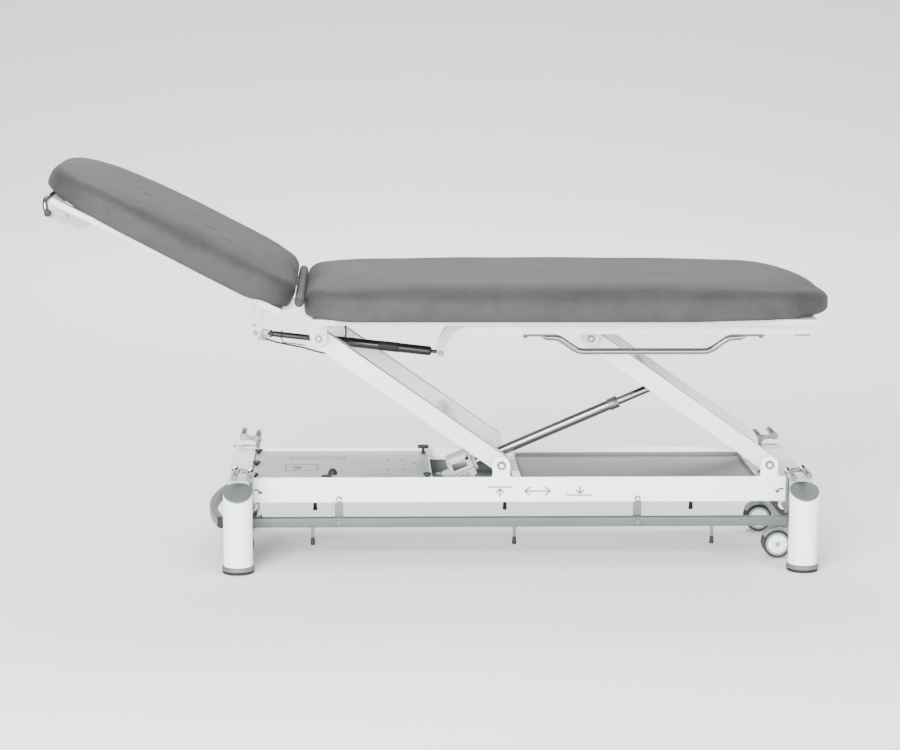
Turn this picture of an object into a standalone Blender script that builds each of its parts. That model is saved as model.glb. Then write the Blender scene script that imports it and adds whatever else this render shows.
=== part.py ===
"""Height-adjustable examination table: padded two-section top, lifting arms, wheeled base.

Metres, +Z up, head end at -X, near side at -Y. The table is laid out around the middle of
its base and hung on one empty, which puts the middle of the whole table over the origin.
"""
from math import atan2, cos, hypot, pi, radians, sin, sqrt

import bmesh
import bpy
from mathutils import Matrix, Vector

# Clearance between pieces that touch, and the running clearance of a pin in its bore
SEAT = 0.0003
RUN = 0.0005

# Base: four posts, two side rails, two end beams
POST_X = 0.728
POST_Y = 0.276
POST_R = 0.0375
POST_WALL = 0.003
CAP_INNER_Z = 0.225
CAP_OUTER_Z = 0.192
CAP_BULGE = 0.004
CAP_THICK = 0.004
COLLAR_R = 0.0425
COLLAR_TOP = 0.022
RUBBER_H = 0.0045
RAIL_Y = 0.188
RAIL_SHEET = 0.004
RAIL_TOP = 0.227
RAIL_BOTTOM = 0.1615
RAIL_END_GAP = 0.0005
LEDGE_TOP = 0.203
LEDGE_DEPTH = 0.028
LEDGE_SHEET = 0.003
BEAM_W = 0.056
BEAM_TOP = 0.222
BEAM_SHEET = 0.003
BEAM_INNER_FLANGE = 0.019

# Lift: two pairs of parallel arms
PIVOT_SPACING = 0.700
LOWER_PIVOT_X = -0.049
LOWER_PIVOT_Z = 0.258
ARM_LENGTH = 0.578
ARM_REST = radians(35.2)
ARM_HEIGHT = 0.045
ARM_THICK = 0.040
ARM_Y = 0.150
ARM_WALL = 0.0025
PIVOT_BORE = 0.0065
PIVOT_R = 0.006
BUSH_R = 0.013
BOLT_HEAD_R = 0.0105
BOLT_HEAD_H = 0.005
UPSTAND_W = 0.045
UPSTAND_FILLET = 0.006
HEAD_TIE_AT = 0.175
TIE_R = 0.014
FOOT_TIE_AT = 0.385
CHEEK_R = 0.016

# Actuator
TAIL_X = -0.205
TAIL_Z = 0.185
ROD_PIVOT_AT = 0.320
MOTOR_START = 0.035
MOTOR_END = 0.100
MOTOR_ABOVE = 0.040
MOTOR_BELOW = 0.030
MOTOR_HALF_W = 0.036
TUBE_R = 0.0135
TUBE_BORE = 0.0112
TUBE_END = 0.520
COLLAR_LENGTH = 0.026
TUBE_COLLAR_R = 0.0165
ROD_R = 0.0105
ROD_START = 0.350
EYE_R = 0.016
EYE_HALF_W = 0.011

# Main section of the top
FRAME_ABOVE_PIVOT = 0.050822
PAD_THICK = 0.078
PAD_HALF_W = 0.330
PAD_FOOT_X = 0.800
HINGE_BEYOND_FRAME = 0.019
HINGE_ABOVE_PAD_BOTTOM = 0.035
MAIN_PAD_GAP = 0.001
PAD_END_RADIUS = 0.190
PAD_HINGE_RADIUS = 0.090
PAD_EDGE_RADIUS = 0.020
FRAME_H = 0.015
FRAME_TUBE = 0.030
FRAME_HALF_W = 0.290
FRAME_BEYOND_PIVOT = 0.01469
FRAME_FOOT_X = 0.745
BOX_HEAD_X = -0.124
BOX_FOOT_X = 0.739
BOX_SLANT = 0.022
BOX_H = 0.026
BOX_Y = 0.265
BOX_W = 0.030
EAR_SHEET = 0.005
EAR_Y = 0.188
EAR_R = 0.021
HINGE_EAR_Y = 0.200
HINGE_EAR_SHEET = 0.005
HINGE_EAR_R = 0.012
HINGE_PIN_R = 0.004
FILLER_R = 0.0115

# Side grip rails
GRIP_X0 = -0.004
GRIP_X1 = 0.616
GRIP_FLAT = 0.055
GRIP_DROP = 0.036
GRIP_LOW_X0 = 0.142
GRIP_LOW_X1 = 0.458
GRIP_R = 0.008
GRIP_Y = 0.262

# Backrest, drawn flat and turned about the hinge
BACK_REST = radians(26.4)
BACK_PAD_NEAR = 0.031
BACK_PAD_END = 0.722
BACK_FRAME_NEAR = 0.046
BACK_FRAME_END = 0.680

# Gas spring between the main frame and the backrest lever
SPRING_X = -0.2026
SPRING_DROP = 0.132
LEVER_X = -0.071
LEVER_Z = -0.161
LEVER_SHEET = 0.004
LEVER_GAP = 0.012
CYLINDER_R = 0.0125
CYLINDER_START = 0.022
CYLINDER_END = 0.310
SPRING_ROD_R = 0.005
SPRING_ROD_START = 0.170
SPRING_PIN_R = 0.004

# Foot bar on four swing links
BAR_Y = 0.194
BAR_W = 0.020
BAR_H = 0.025
BAR_Z = 0.1105
BAR_FOOT_X = 0.700
BAR_BOW_X = -0.770
BOW_REACH = 0.036
LINK_X = (-0.470, 0.3075)
LINK_TOP_Z = 0.1695
LINK_W = 0.022
LINK_SHEET = 0.005
LINK_PIN_R = 0.004
PEG_X = (-0.538, -0.014, 0.503)
PEG_R = 0.004
PEG_TIP_R = 0.006
PEG_TIP_H = 0.020
PEG_BOTTOM = 0.050

# Castors, their carriers and the pedals
SWIVEL_IN = 0.022
CASTOR_Y = 0.146
TRAIL = 0.024
WHEEL_R = 0.0375
WHEEL_Z = 0.0401
WHEEL_W = 0.018
WHEEL_GAP = 0.014
AXLE_R = 0.004
STEM_R = 0.006
CARRIER_Z = 0.098
CARRIER_H = 0.024
CARRIER_IN = 0.044
CARRIER_OUT = 0.016
CARRIER_HALF_L = 0.176
CARRIER_SHEET = 0.004
GUIDE_Y = 0.090
GUIDE_R = 0.006
GUIDE_OUT = 0.002
SLEEVE_R = 0.010
SHAFT_IN = 0.033
SHAFT_Z = 0.148
SHAFT_R = 0.008
SHAFT_HALF_L = 0.2185
PEDAL_ARM_Y = 0.2135
PEDAL_ARM_R = 0.005
PEDAL_Z = 0.2465
PEDAL_SPACING = 0.040
PEDAL_TILT = radians(9.0)
PEDAL_PAD_R = 0.0085
PEDAL_END_Y = 0.3005
LUG_R = 0.014
PEDAL_RING_R = 0.0105
PEDAL_RING_T = 0.006
CAM_Y = 0.060
CAM_REACH = 0.0331
CAM_DROP = 0.0197
NOTCH_REACH = 0.034
NOTCH_HALF_W = 0.0075
CAM_TIP_R = 0.006
CAM_W = 0.010

# Covers and trays
COVER_TOP = 0.2195
COVER_HEAD_X = -0.697
COVER_FOOT_X = -0.228
COVER_SHEET = 0.002
PAN_HEAD_X = 0.010
PAN_FOOT_X = 0.628
PAN_LIP = 0.011
TRAY_Z = 0.163
TRAY_SHEET = 0.003
TRAY_HALF_W = 0.170
TRAY_HEAD_X = -0.690
TRAY_FOOT_X = -0.010
CONTROL_HEAD_X = -0.600
CONTROL_FOOT_X = -0.370
CONTROL_HALF_W = 0.075
KNOB_R = 0.0085
KNOB_H = 0.012

# Sides of the larger round pieces
SIDES = 24

# Worked out from the sizes above
LOWER_PIVOTS = (LOWER_PIVOT_X, LOWER_PIVOT_X + PIVOT_SPACING)
UPPER_DX = -ARM_LENGTH * cos(ARM_REST)
UPPER_PIVOT_Z = LOWER_PIVOT_Z + ARM_LENGTH * sin(ARM_REST)
UPPER_PIVOTS = tuple(x + UPPER_DX for x in LOWER_PIVOTS)
FRAME_HEAD_X = round(UPPER_PIVOTS[0] - FRAME_BEYOND_PIVOT, 5)
HINGE_X = FRAME_HEAD_X - HINGE_BEYOND_FRAME
PAD_BOTTOM = round(UPPER_PIVOT_Z + FRAME_ABOVE_PIVOT + FRAME_H, 5)
SPRING_Z = PAD_BOTTOM - SPRING_DROP
HINGE_Z = PAD_BOTTOM + HINGE_ABOVE_PAD_BOTTOM
MAIN_PAD_HEAD_X = HINGE_X - MAIN_PAD_GAP
PAD_TOP = PAD_BOTTOM + PAD_THICK
FRAME_TOP = PAD_BOTTOM - SEAT
FRAME_BOTTOM = FRAME_TOP - FRAME_H
BOX_TOP = FRAME_BOTTOM - SEAT
BOX_BOTTOM = BOX_TOP - BOX_H
CROSS_BOTTOM = UPPER_PIVOT_Z + ARM_HEIGHT / 2 + 0.003
BACK_PAD_BOTTOM = -HINGE_ABOVE_PAD_BOTTOM
BACK_FRAME_TOP = BACK_PAD_BOTTOM - SEAT
BACK_FRAME_BOTTOM = BACK_FRAME_TOP - FRAME_H
RAIL_END_X = POST_X - BEAM_W / 2 - RAIL_END_GAP
LINK_Y = RAIL_Y - RAIL_SHEET - SEAT
TILT = atan2(LOWER_PIVOT_Z + ROD_PIVOT_AT * sin(ARM_REST) - TAIL_Z,
             LOWER_PIVOTS[1] - ROD_PIVOT_AT * cos(ARM_REST) - TAIL_X)
ROD_LENGTH = hypot(LOWER_PIVOT_Z + ROD_PIVOT_AT * sin(ARM_REST) - TAIL_Z,
                   LOWER_PIVOTS[1] - ROD_PIVOT_AT * cos(ARM_REST) - TAIL_X)
LEVER_PIN = (HINGE_X + LEVER_X * cos(BACK_REST) + LEVER_Z * sin(BACK_REST),
             HINGE_Z - LEVER_X * sin(BACK_REST) + LEVER_Z * cos(BACK_REST))
SPRING_LENGTH = hypot(LEVER_PIN[0] - SPRING_X, LEVER_PIN[1] - SPRING_Z)
SPRING_TILT = atan2(LEVER_PIN[1] - SPRING_Z, SPRING_X - LEVER_PIN[0])


def back_reach():
    """How far the tilted backrest reaches beyond the hinge, at its lower and upper edges."""
    top = BACK_PAD_BOTTOM + PAD_THICK
    return max(BACK_PAD_END * cos(BACK_REST) - z * sin(BACK_REST) for z in (BACK_PAD_BOTTOM, top))


BASE_X = -(PAD_FOOT_X + HINGE_X - back_reach()) / 2

for old in list(bpy.data.objects):
    bpy.data.objects.remove(old)
table = bpy.data.collections.new("examination_table")
cutters = bpy.data.collections.new("cutters")
bpy.context.scene.collection.children.link(table)
bpy.context.scene.collection.children.link(cutters)
origin = bpy.data.objects.new("table_origin", None)
origin.location = (BASE_X, 0, 0)
table.objects.link(origin)


# Materials

def material(name, colour, roughness, metallic=0.0):
    made = bpy.data.materials.new(name)
    made.use_nodes = True
    shader = made.node_tree.nodes["Principled BSDF"]
    shader.inputs["Base Color"].default_value = (*colour, 1)
    shader.inputs["Roughness"].default_value = roughness
    shader.inputs["Metallic"].default_value = metallic
    return made


WHITE = material("white_powder_coat", (0.86, 0.88, 0.88), 0.35)
GREY_PLASTIC = material("grey_plastic", (0.33, 0.34, 0.35), 0.5)
GREY_COAT = material("grey_powder_coat", (0.30, 0.32, 0.32), 0.45)
COVER_GREY = material("cover_grey", (0.50, 0.52, 0.52), 0.5)
BLACK = material("black_plastic", (0.02, 0.02, 0.022), 0.5)
RUBBER = material("black_rubber", (0.015, 0.015, 0.015), 0.8)
CHROME = material("chrome", (0.75, 0.76, 0.77), 0.12, 1.0)
STEEL = material("zinc_steel", (0.60, 0.61, 0.62), 0.35, 1.0)
ALUMINIUM = material("aluminium", (0.52, 0.53, 0.54), 0.3, 1.0)
LEATHERETTE = material("grey_leatherette", (0.21, 0.21, 0.215), 0.55)
CASTOR_GREY = material("castor_grey", (0.55, 0.57, 0.58), 0.45)


# Building blocks: each returns an object whose place is in its mesh

def from_bmesh(bm, name="piece"):
    bmesh.ops.recalc_face_normals(bm, faces=bm.faces)
    mesh = bpy.data.meshes.new(name)
    bm.to_mesh(mesh)
    bm.free()
    made = bpy.data.objects.new(name, mesh)
    table.objects.link(made)
    return made


def block(low, high, bevel=0.0, edges=2):
    """A box between two corners, its edges rounded if asked."""
    low, high = Vector(low), Vector(high)
    bm = bmesh.new()
    bmesh.ops.create_cube(bm, size=1)
    size = high - low
    bmesh.ops.scale(bm, verts=bm.verts, vec=size)
    bmesh.ops.translate(bm, verts=bm.verts, vec=(low + high) / 2)
    if bevel:
        bmesh.ops.bevel(bm, geom=bm.edges, offset=bevel, segments=edges, affect="EDGES", profile=0.5)
    return from_bmesh(bm)


def rod(start, end, radius, sides=16, end_radius=None):
    """A round bar, or a cone, from one point to another."""
    start, end = Vector(start), Vector(end)
    bm = bmesh.new()
    run = end - start
    bmesh.ops.create_cone(bm, cap_ends=True, segments=sides, radius1=radius,
                          radius2=radius if end_radius is None else end_radius, depth=run.length)
    turn = Vector((0, 0, 1)).rotation_difference(run).to_matrix().to_4x4()
    bmesh.ops.transform(bm, matrix=Matrix.Translation((start + end) / 2) @ turn, verts=bm.verts)
    return from_bmesh(bm)


def flatten(made):
    """Turn an object with curve or modifiers into a plain welded mesh in place."""
    bpy.context.view_layer.update()
    graph = bpy.context.evaluated_depsgraph_get()
    mesh = bpy.data.meshes.new_from_object(made.evaluated_get(graph))
    mesh.transform(made.matrix_world)
    for tool in [change.object for change in made.modifiers if change.type == "BOOLEAN"]:
        bpy.data.objects.remove(tool)
    bpy.data.objects.remove(made)
    bm = bmesh.new()
    bm.from_mesh(mesh)
    bmesh.ops.remove_doubles(bm, verts=bm.verts, dist=0.00001)
    return from_bmesh(bm)


def plate(outline, y0, y1, holes=()):
    """A flat sheet in the XZ plane between two Y values, with outlines of holes."""
    curve = bpy.data.curves.new("outline", "CURVE")
    curve.dimensions = "2D"
    curve.fill_mode = "BOTH"
    curve.extrude = abs(y1 - y0) / 2
    for points in (outline, *holes):
        spline = curve.splines.new("POLY")
        spline.points.add(len(points) - 1)
        spline.use_cyclic_u = True
        for point, (x, z) in zip(spline.points, points):
            point.co = (x, z, 0, 1)
    made = bpy.data.objects.new("plate", curve)
    made.rotation_euler = (pi / 2, 0, 0)
    made.location = (0, (y0 + y1) / 2, 0)
    table.objects.link(made)
    return flatten(made)


def ring(centre, radius, sides=16, start=0.0):
    """Points of a circle, for an outline or a hole."""
    return [(centre[0] + radius * cos(start + 2 * pi * k / sides),
             centre[1] + radius * sin(start + 2 * pi * k / sides)) for k in range(sides)]


def arc(centre, radius, begin, end, steps=6):
    """Points of an arc between two angles in degrees."""
    return [(centre[0] + radius * cos(radians(begin + (end - begin) * k / steps)),
             centre[1] + radius * sin(radians(begin + (end - begin) * k / steps)))
            for k in range(steps + 1)]


def smooth_route(points, per_span=4):
    """A Catmull-Rom curve through the route's own points."""
    points = [Vector(p) for p in points]
    ends = [2 * points[0] - points[1], *points, 2 * points[-1] - points[-2]]
    route = []
    for i in range(len(points) - 1):
        a, b, c, d = ends[i:i + 4]
        for k in range(per_span):
            t = k / per_span
            route.append(0.5 * (2 * b + (c - a) * t + (2 * a - 5 * b + 4 * c - d) * t * t
                                + (3 * b - a - 3 * c + d) * t ** 3))
    return [*route, points[-1]]


def pipe(points, radius, detail=2):
    """A round bar along a route."""
    curve = bpy.data.curves.new("route", "CURVE")
    curve.dimensions = "3D"
    curve.bevel_depth = radius
    curve.bevel_resolution = detail
    curve.use_fill_caps = True
    spline = curve.splines.new("POLY")
    spline.points.add(len(points) - 1)
    for point, co in zip(spline.points, points):
        point.co = (*co, 1)
    made = bpy.data.objects.new("pipe", curve)
    table.objects.link(made)
    return flatten(made)


def fillet(points, radius, steps=3):
    """A route of straight runs whose corners are turned with one radius."""
    points = [Vector(p) for p in points]
    route = [points[0]]
    for before, corner, after in zip(points, points[1:], points[2:]):
        back = (before - corner).normalized()
        on = (after - corner).normalized()
        half = back.angle(on) / 2
        reach = min(radius / max(0.05, abs(sin(half) / cos(half))),
                    (before - corner).length * 0.45, (after - corner).length * 0.45)
        for k in range(steps + 1):
            t = k / steps
            route.append(corner + back * reach * (1 - t) ** 2 + on * reach * t ** 2)
    return [*route, points[-1]]


def turned(profile, place=Matrix.Identity(4), sides=24):
    """A turned piece: radius and height pairs run down the outer side, closed on the axis."""
    mesh = bpy.data.meshes.new("profile")
    mesh.from_pydata([(r, 0, z) for r, z in profile], [(k, k + 1) for k in range(len(profile) - 1)], [])
    if profile[0][0] > 0:
        mesh.clear_geometry()
        edges = [(k, (k + 1) % len(profile)) for k in range(len(profile))]
        mesh.from_pydata([(r, 0, z) for r, z in profile], edges, [])
    made = bpy.data.objects.new("turned", mesh)
    table.objects.link(made)
    screw = made.modifiers.new("turn", "SCREW")
    screw.steps = sides
    screw.render_steps = sides
    screw.use_merge_vertices = True
    screw.merge_threshold = 0.00005
    made.matrix_world = place
    return flatten(made)


def across(x, y, z, side=1):
    """A frame whose Z axis points along +Y or -Y, for pins and wheels."""
    return Matrix.Translation((x, y, z)) @ Matrix.Rotation(-side * pi / 2, 4, "X")


def along(x, z, angle):
    """A frame whose X axis leaves a point of the XZ plane, raised by an angle."""
    return Matrix.Translation((x, 0, z)) @ Matrix.Rotation(-angle, 4, "Y")


def hide(tool):
    """Put a cutter or a welded-on shape in the cutters' collection."""
    for home in tool.users_collection:
        home.objects.unlink(tool)
    cutters.objects.link(tool)
    tool.hide_render = True
    tool.display_type = "WIRE"


def boolean(target, tool, operation):
    change = target.modifiers.new(operation.lower(), "BOOLEAN")
    change.operation = operation
    change.solver = "EXACT"
    change.object = tool
    hide(tool)
    return target


def cut(target, *tools):
    for tool in tools:
        boolean(target, tool, "DIFFERENCE")
    return target


def weld(target, *pieces):
    for piece in pieces:
        boolean(target, piece, "UNION")
    return target


def tools_of(made):
    """Every live cutter or welded-on shape of a piece, with the ones those use."""
    tools = [change.object for change in made.modifiers if change.type == "BOOLEAN"]
    return tools + [deeper for tool in tools for deeper in tools_of(tool)]


def part(name, made, finish, pivot=(0, 0, 0), smooth=True, turn=0.0):
    """Name a finished piece, put its origin on its pivot and hang it on the table's empty."""
    made.name = name
    made.data.name = name
    made.data.materials.clear()
    made.data.materials.append(finish)
    if turn:
        made.rotation_euler = (0, turn, 0)
    else:
        made.data.transform(Matrix.Translation(-Vector(pivot)))
    made.location = pivot
    if smooth:
        made.data.shade_smooth()
        made.data.set_sharp_from_angle(angle=radians(35))
    made.parent = origin
    for tool in tools_of(made):
        tool.parent = origin
    return made


# Base frame

def rail(side):
    """A side rail: folded sheet with an inward ledge and an upstand at each lower pivot."""
    outer = side * RAIL_Y
    inner = side * (RAIL_Y - RAIL_SHEET)
    outline = [(-RAIL_END_X, RAIL_BOTTOM), (RAIL_END_X, RAIL_BOTTOM), (RAIL_END_X, RAIL_TOP)]
    for x in reversed(LOWER_PIVOTS):
        half = UPSTAND_W / 2
        f = UPSTAND_FILLET
        outline += arc((x + half + f, RAIL_TOP + f), f, 270, 180, 3)
        outline += arc((x, LOWER_PIVOT_Z), half, 0, 180, 8)
        outline += arc((x - half - f, RAIL_TOP + f), f, 0, -90, 3)
    outline.append((-RAIL_END_X, RAIL_TOP))
    sheet = plate(outline, outer, inner)
    ledge = block((-RAIL_END_X, min(inner - side * LEDGE_DEPTH, inner + side * 0.001), LEDGE_TOP - LEDGE_SHEET),
                  (RAIL_END_X, max(inner - side * LEDGE_DEPTH, inner + side * 0.001), LEDGE_TOP))
    weld(sheet, ledge)
    for x in LOWER_PIVOTS:
        weld(sheet, *stud(x, LOWER_PIVOT_Z, outer, side, side * (ARM_Y - ARM_THICK / 2 - 0.004), PIVOT_R, BOLT_HEAD_R))
    for x in LINK_X:
        weld(sheet, *stud(x, LINK_TOP_Z, outer, side, side * (LINK_Y - LINK_SHEET - 0.002), LINK_PIN_R, 0.0065))
    return sheet


def stud(x, z, face, side, end_y, radius, head_r):
    """A bolt fixed in a plate: its head on the outer face, its shank running inwards."""
    return (rod((x, face - side * 0.001, z), (x, end_y, z), radius, 12),
            rod((x, face - side * 0.001, z), (x, face + side * BOLT_HEAD_H, z), head_r, 12, head_r * 0.8))


def end_beam(end):
    """An end beam: folded sheet open below, hollowed to the posts, with carrier sleeves."""
    centre = end * POST_X
    half = BEAM_W / 2
    reach = POST_Y - POST_R * 0.45
    inside = centre - end * half
    outside = centre + end * half
    beam = block((min(inside, outside), -reach, RAIL_BOTTOM), (max(inside, outside), reach, BEAM_TOP), 0)
    low_in = inside + end * BEAM_SHEET
    low_out = outside - end * BEAM_SHEET
    hollow = block((min(low_in, low_out), -POST_Y, RAIL_BOTTOM - 0.01),
                   (max(low_in, low_out), POST_Y, BEAM_TOP - BEAM_SHEET))
    short = inside - end * 0.01
    trim = block((min(short, low_in + end * 0.001), -POST_Y, RAIL_BOTTOM - 0.01),
                 (max(short, low_in + end * 0.001), POST_Y, BEAM_TOP - BEAM_INNER_FLANGE))
    notches = []
    for side in (-1, 1):
        edge = inside + end * NOTCH_REACH
        notches.append(block((min(short, edge), side * PEDAL_ARM_Y - NOTCH_HALF_W, RAIL_BOTTOM - 0.01),
                             (max(short, edge), side * PEDAL_ARM_Y + NOTCH_HALF_W, BEAM_TOP + 0.01)))
    cut(beam, hollow, trim, *notches)
    sleeves = []
    bores = []
    for y in (-GUIDE_Y, GUIDE_Y):
        x = centre + end * GUIDE_OUT
        sleeves.append(rod((x, y, RAIL_BOTTOM + 0.006), (x, y, BEAM_TOP - 0.001), SLEEVE_R, 12))
        bores.append(rod((x, y, RAIL_BOTTOM - 0.01), (x, y, BEAM_TOP - BEAM_SHEET), GUIDE_R + RUN, 12))
    shaft_x = end * (POST_X - SHAFT_IN)
    lug_y = CARRIER_HALF_L - 0.008
    lugs = []
    for y in (-lug_y, lug_y):
        around = arc((0, SHAFT_Z), LUG_R, 160, 380, 8)
        face = BEAM_W / 2 - SHAFT_IN
        outline = [*around, (LUG_R + 0.006, BEAM_TOP - 0.001), (-face + 0.0005, BEAM_TOP - 0.001),
                   (-face + 0.0005, SHAFT_Z + LUG_R)]
        lugs.append(plate([(shaft_x + end * px, pz) for px, pz in outline], y - 0.003, y + 0.003))
        bores.append(rod((shaft_x, y - 0.01, SHAFT_Z), (shaft_x, y + 0.01, SHAFT_Z), SHAFT_R + RUN, 14))
    weld(beam, *sleeves, *lugs)
    cut(beam, *bores)
    weld(beam, *[rod((centre, y, COLLAR_TOP + SEAT), (centre, y, CAP_INNER_Z + 0.01), POST_R, SIDES)
                 for y in (-POST_Y, POST_Y)])
    cut(beam, *[cap_room(end, side) for side in (-1, 1)])
    return cut(beam, *[rod((centre, y, COLLAR_TOP - 0.01), (centre, y, CAP_OUTER_Z - CAP_THICK - SEAT - 0.004),
                           POST_R - POST_WALL, SIDES) for y in (-POST_Y, POST_Y)])


def cap_height(out):
    """Height of a post's cap, from its inner edge at 0 to its outer edge at 1."""
    return CAP_INNER_Z + (CAP_OUTER_Z - CAP_INNER_Z) * out + CAP_BULGE * 4 * out * (1 - out)


def cap_room(end, side):
    """The room that a post's cap takes above the tube."""
    x, y = end * POST_X, side * POST_Y
    room = rod((x, y, CAP_OUTER_Z - 0.03), (x, y, CAP_INNER_Z + 0.03), POST_R + SEAT, SIDES)
    return flatten(boolean(room, cap_slab(x, y, side, -CAP_THICK - SEAT, 0.06), "INTERSECT"))


def cap_slab(x, y, side, low, high):
    """A slab that follows the cap's curved slope, between two offsets."""
    steps = [k / 8 for k in range(9)]
    reach = POST_R + 0.004
    lower = [(y + side * (2 * t - 1) * reach, cap_height(t) + low) for t in steps]
    upper = [(py, pz - low + high) for py, pz in reversed(lower)]
    slab = plate([*lower, *upper], -reach, reach)
    slab.data.transform(Matrix.Translation((x, 0, 0)) @ Matrix.Rotation(pi / 2, 4, "Z"))
    return slab


def post_cap(end, side):
    """A convex cap that slopes down to the outside."""
    x, y = end * POST_X, side * POST_Y
    cap = rod((x, y, CAP_OUTER_Z - 0.03), (x, y, CAP_INNER_Z + 0.02), POST_R, SIDES)
    return boolean(cap, cap_slab(x, y, side, -CAP_THICK, 0), "INTERSECT")


def post_foot(end, side):
    """A flared collar on a rubber disc, with a spigot that fits inside the post."""
    spigot = POST_R - POST_WALL - SEAT
    profile = [(0, COLLAR_TOP + 0.012), (spigot, COLLAR_TOP + 0.012), (spigot, COLLAR_TOP), (POST_R + 0.001, COLLAR_TOP),
               (COLLAR_R, COLLAR_TOP - 0.013), (COLLAR_R, RUBBER_H), (COLLAR_R - 0.005, 0), (0, 0)]
    return turned(profile, Matrix.Translation((end * POST_X, side * POST_Y, 0)), SIDES)


for side, word in ((-1, "near"), (1, "far")):
    part(f"side_rail_{word}", rail(side), WHITE)
for end, word in ((-1, "head"), (1, "foot")):
    part(f"end_frame_{word}", end_beam(end), WHITE)
    for side, place in ((-1, "near"), (1, "far")):
        part(f"post_cap_{word}_{place}", post_cap(end, side), GREY_PLASTIC)
        part(f"post_foot_{word}_{place}", post_foot(end, side), GREY_PLASTIC)


# Covers, trays and what lies under them

def tray_box(x0, x1, half_w, z0, z1, sheet, up):
    """A shallow folded tray, open above or below."""
    body = block((x0, -half_w, z0), (x1, half_w, z1))
    if up:
        hollow = block((x0 + sheet, -half_w + sheet, z0 + sheet), (x1 - sheet, half_w - sheet, z1 + 0.01))
    else:
        hollow = block((x0 + sheet, -half_w + sheet, z0 - 0.01), (x1 - sheet, half_w - sheet, z1 - sheet))
    return cut(body, hollow)


COVER_HALF_W = RAIL_Y - RAIL_SHEET - 0.002


def cover_plate():
    cover = tray_box(COVER_HEAD_X, COVER_FOOT_X, COVER_HALF_W, LEDGE_TOP + SEAT, COVER_TOP, COVER_SHEET, False)
    lip = block((COVER_FOOT_X - 0.0015, -COVER_HALF_W + 0.01, COVER_TOP - 0.001),
                (COVER_FOOT_X, COVER_HALF_W - 0.01, COVER_TOP + 0.006))
    weld(cover, lip)
    cut(cover, *[rod((x, y, COVER_TOP - 0.01), (x, y, COVER_TOP + 0.01), 0.0025, 10)
                 for x, y in ((-0.300, -0.06), (-0.300, 0.06), (-0.340, -0.06), (-0.340, 0.06))])
    spots = [(COVER_HEAD_X + 0.010, y) for y in (-0.150, 0, 0.150)] + [(COVER_FOOT_X - 0.012, -0.150)]
    weld(cover, *[knob(x, y, COVER_TOP) for x, y in spots])
    return weld(cover, *tall_knob(COVER_FOOT_X - 0.014, 0.150, COVER_TOP), *cover_controls())


def knob(x, y, z):
    """A hand screw with a waisted grip."""
    return turned([(0, KNOB_H), (KNOB_R * 0.8, KNOB_H), (KNOB_R, KNOB_H - 0.002), (KNOB_R, KNOB_H - 0.006),
                   (KNOB_R * 0.55, KNOB_H - 0.008), (KNOB_R * 0.55, -0.001), (0, -0.001)],
                  Matrix.Translation((x, y, z)), 10)


def tall_knob(x, y, z):
    """The T-shaped hand screw at the cover's far corner."""
    stem = turned([(0, 0.016), (0.004, 0.016), (0.004, 0.004), (0.006, 0.003), (0.006, -0.001), (0, -0.001)],
                  Matrix.Translation((x, y, z)), 12)
    return stem, block((x - 0.014, y - 0.006, z + 0.014), (x + 0.014, y + 0.006, z + 0.023), 0.003, 2)


def cover_controls():
    """The black dome and the small flat plate beside it."""
    dome = turned([(0, 0.011), (0.006, 0.0095), (0.0105, 0.0055), (0.012, -0.001), (0, -0.001)],
                  Matrix.Translation((-0.487, -0.110, COVER_TOP)), 12)
    return dome, block((-0.516, -0.162, COVER_TOP - 0.001), (-0.490, -0.148, COVER_TOP + 0.003), 0.0008, 1)


def drive_tray():
    """The floor tray of the head half, with the actuator's tail clevis on it."""
    tray = tray_box(TRAY_HEAD_X, TRAY_FOOT_X, TRAY_HALF_W, TRAY_Z, LEDGE_TOP - LEDGE_SHEET - SEAT, TRAY_SHEET, True)
    ears = []
    for side in (-1, 1):
        inner = side * (EYE_HALF_W + SEAT)
        outer = side * (EYE_HALF_W + SEAT + 0.005)
        outline = [(TAIL_X - 0.022, TRAY_Z + 0.001), (TAIL_X + 0.022, TRAY_Z + 0.001),
                   *arc((TAIL_X, TAIL_Z), 0.012, 0, 180, 8)]
        ears.append(plate(outline, inner, outer))
    return weld(tray, *ears, rod((TAIL_X, -0.022, TAIL_Z), (TAIL_X, 0.022, TAIL_Z), 0.005, 16))


def control_box():
    """The control unit under the cover, with the sockets on its end face."""
    low = TRAY_Z + TRAY_SHEET + SEAT
    box = block((CONTROL_HEAD_X, -CONTROL_HALF_W, low), (CONTROL_FOOT_X, CONTROL_HALF_W, LEDGE_TOP - 0.006), 0.004, 2)
    sockets = [block((CONTROL_FOOT_X - 0.001, y - 0.010, low + 0.008), (CONTROL_FOOT_X + 0.006, y + 0.010, low + 0.022))
               for y in (-0.6 * CONTROL_HALF_W, 0.0, 0.6 * CONTROL_HALF_W)]
    return weld(box, *sockets)


part("cover_plate", cover_plate(), COVER_GREY)
part("base_pan", tray_box(PAN_HEAD_X, PAN_FOOT_X, COVER_HALF_W, LEDGE_TOP + SEAT, LEDGE_TOP + PAN_LIP,
                          COVER_SHEET, True), WHITE)
part("drive_tray", drive_tray(), WHITE)
part("control_box", control_box(), GREY_PLASTIC)


# Castors on their carriers, and the pedal shafts

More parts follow.
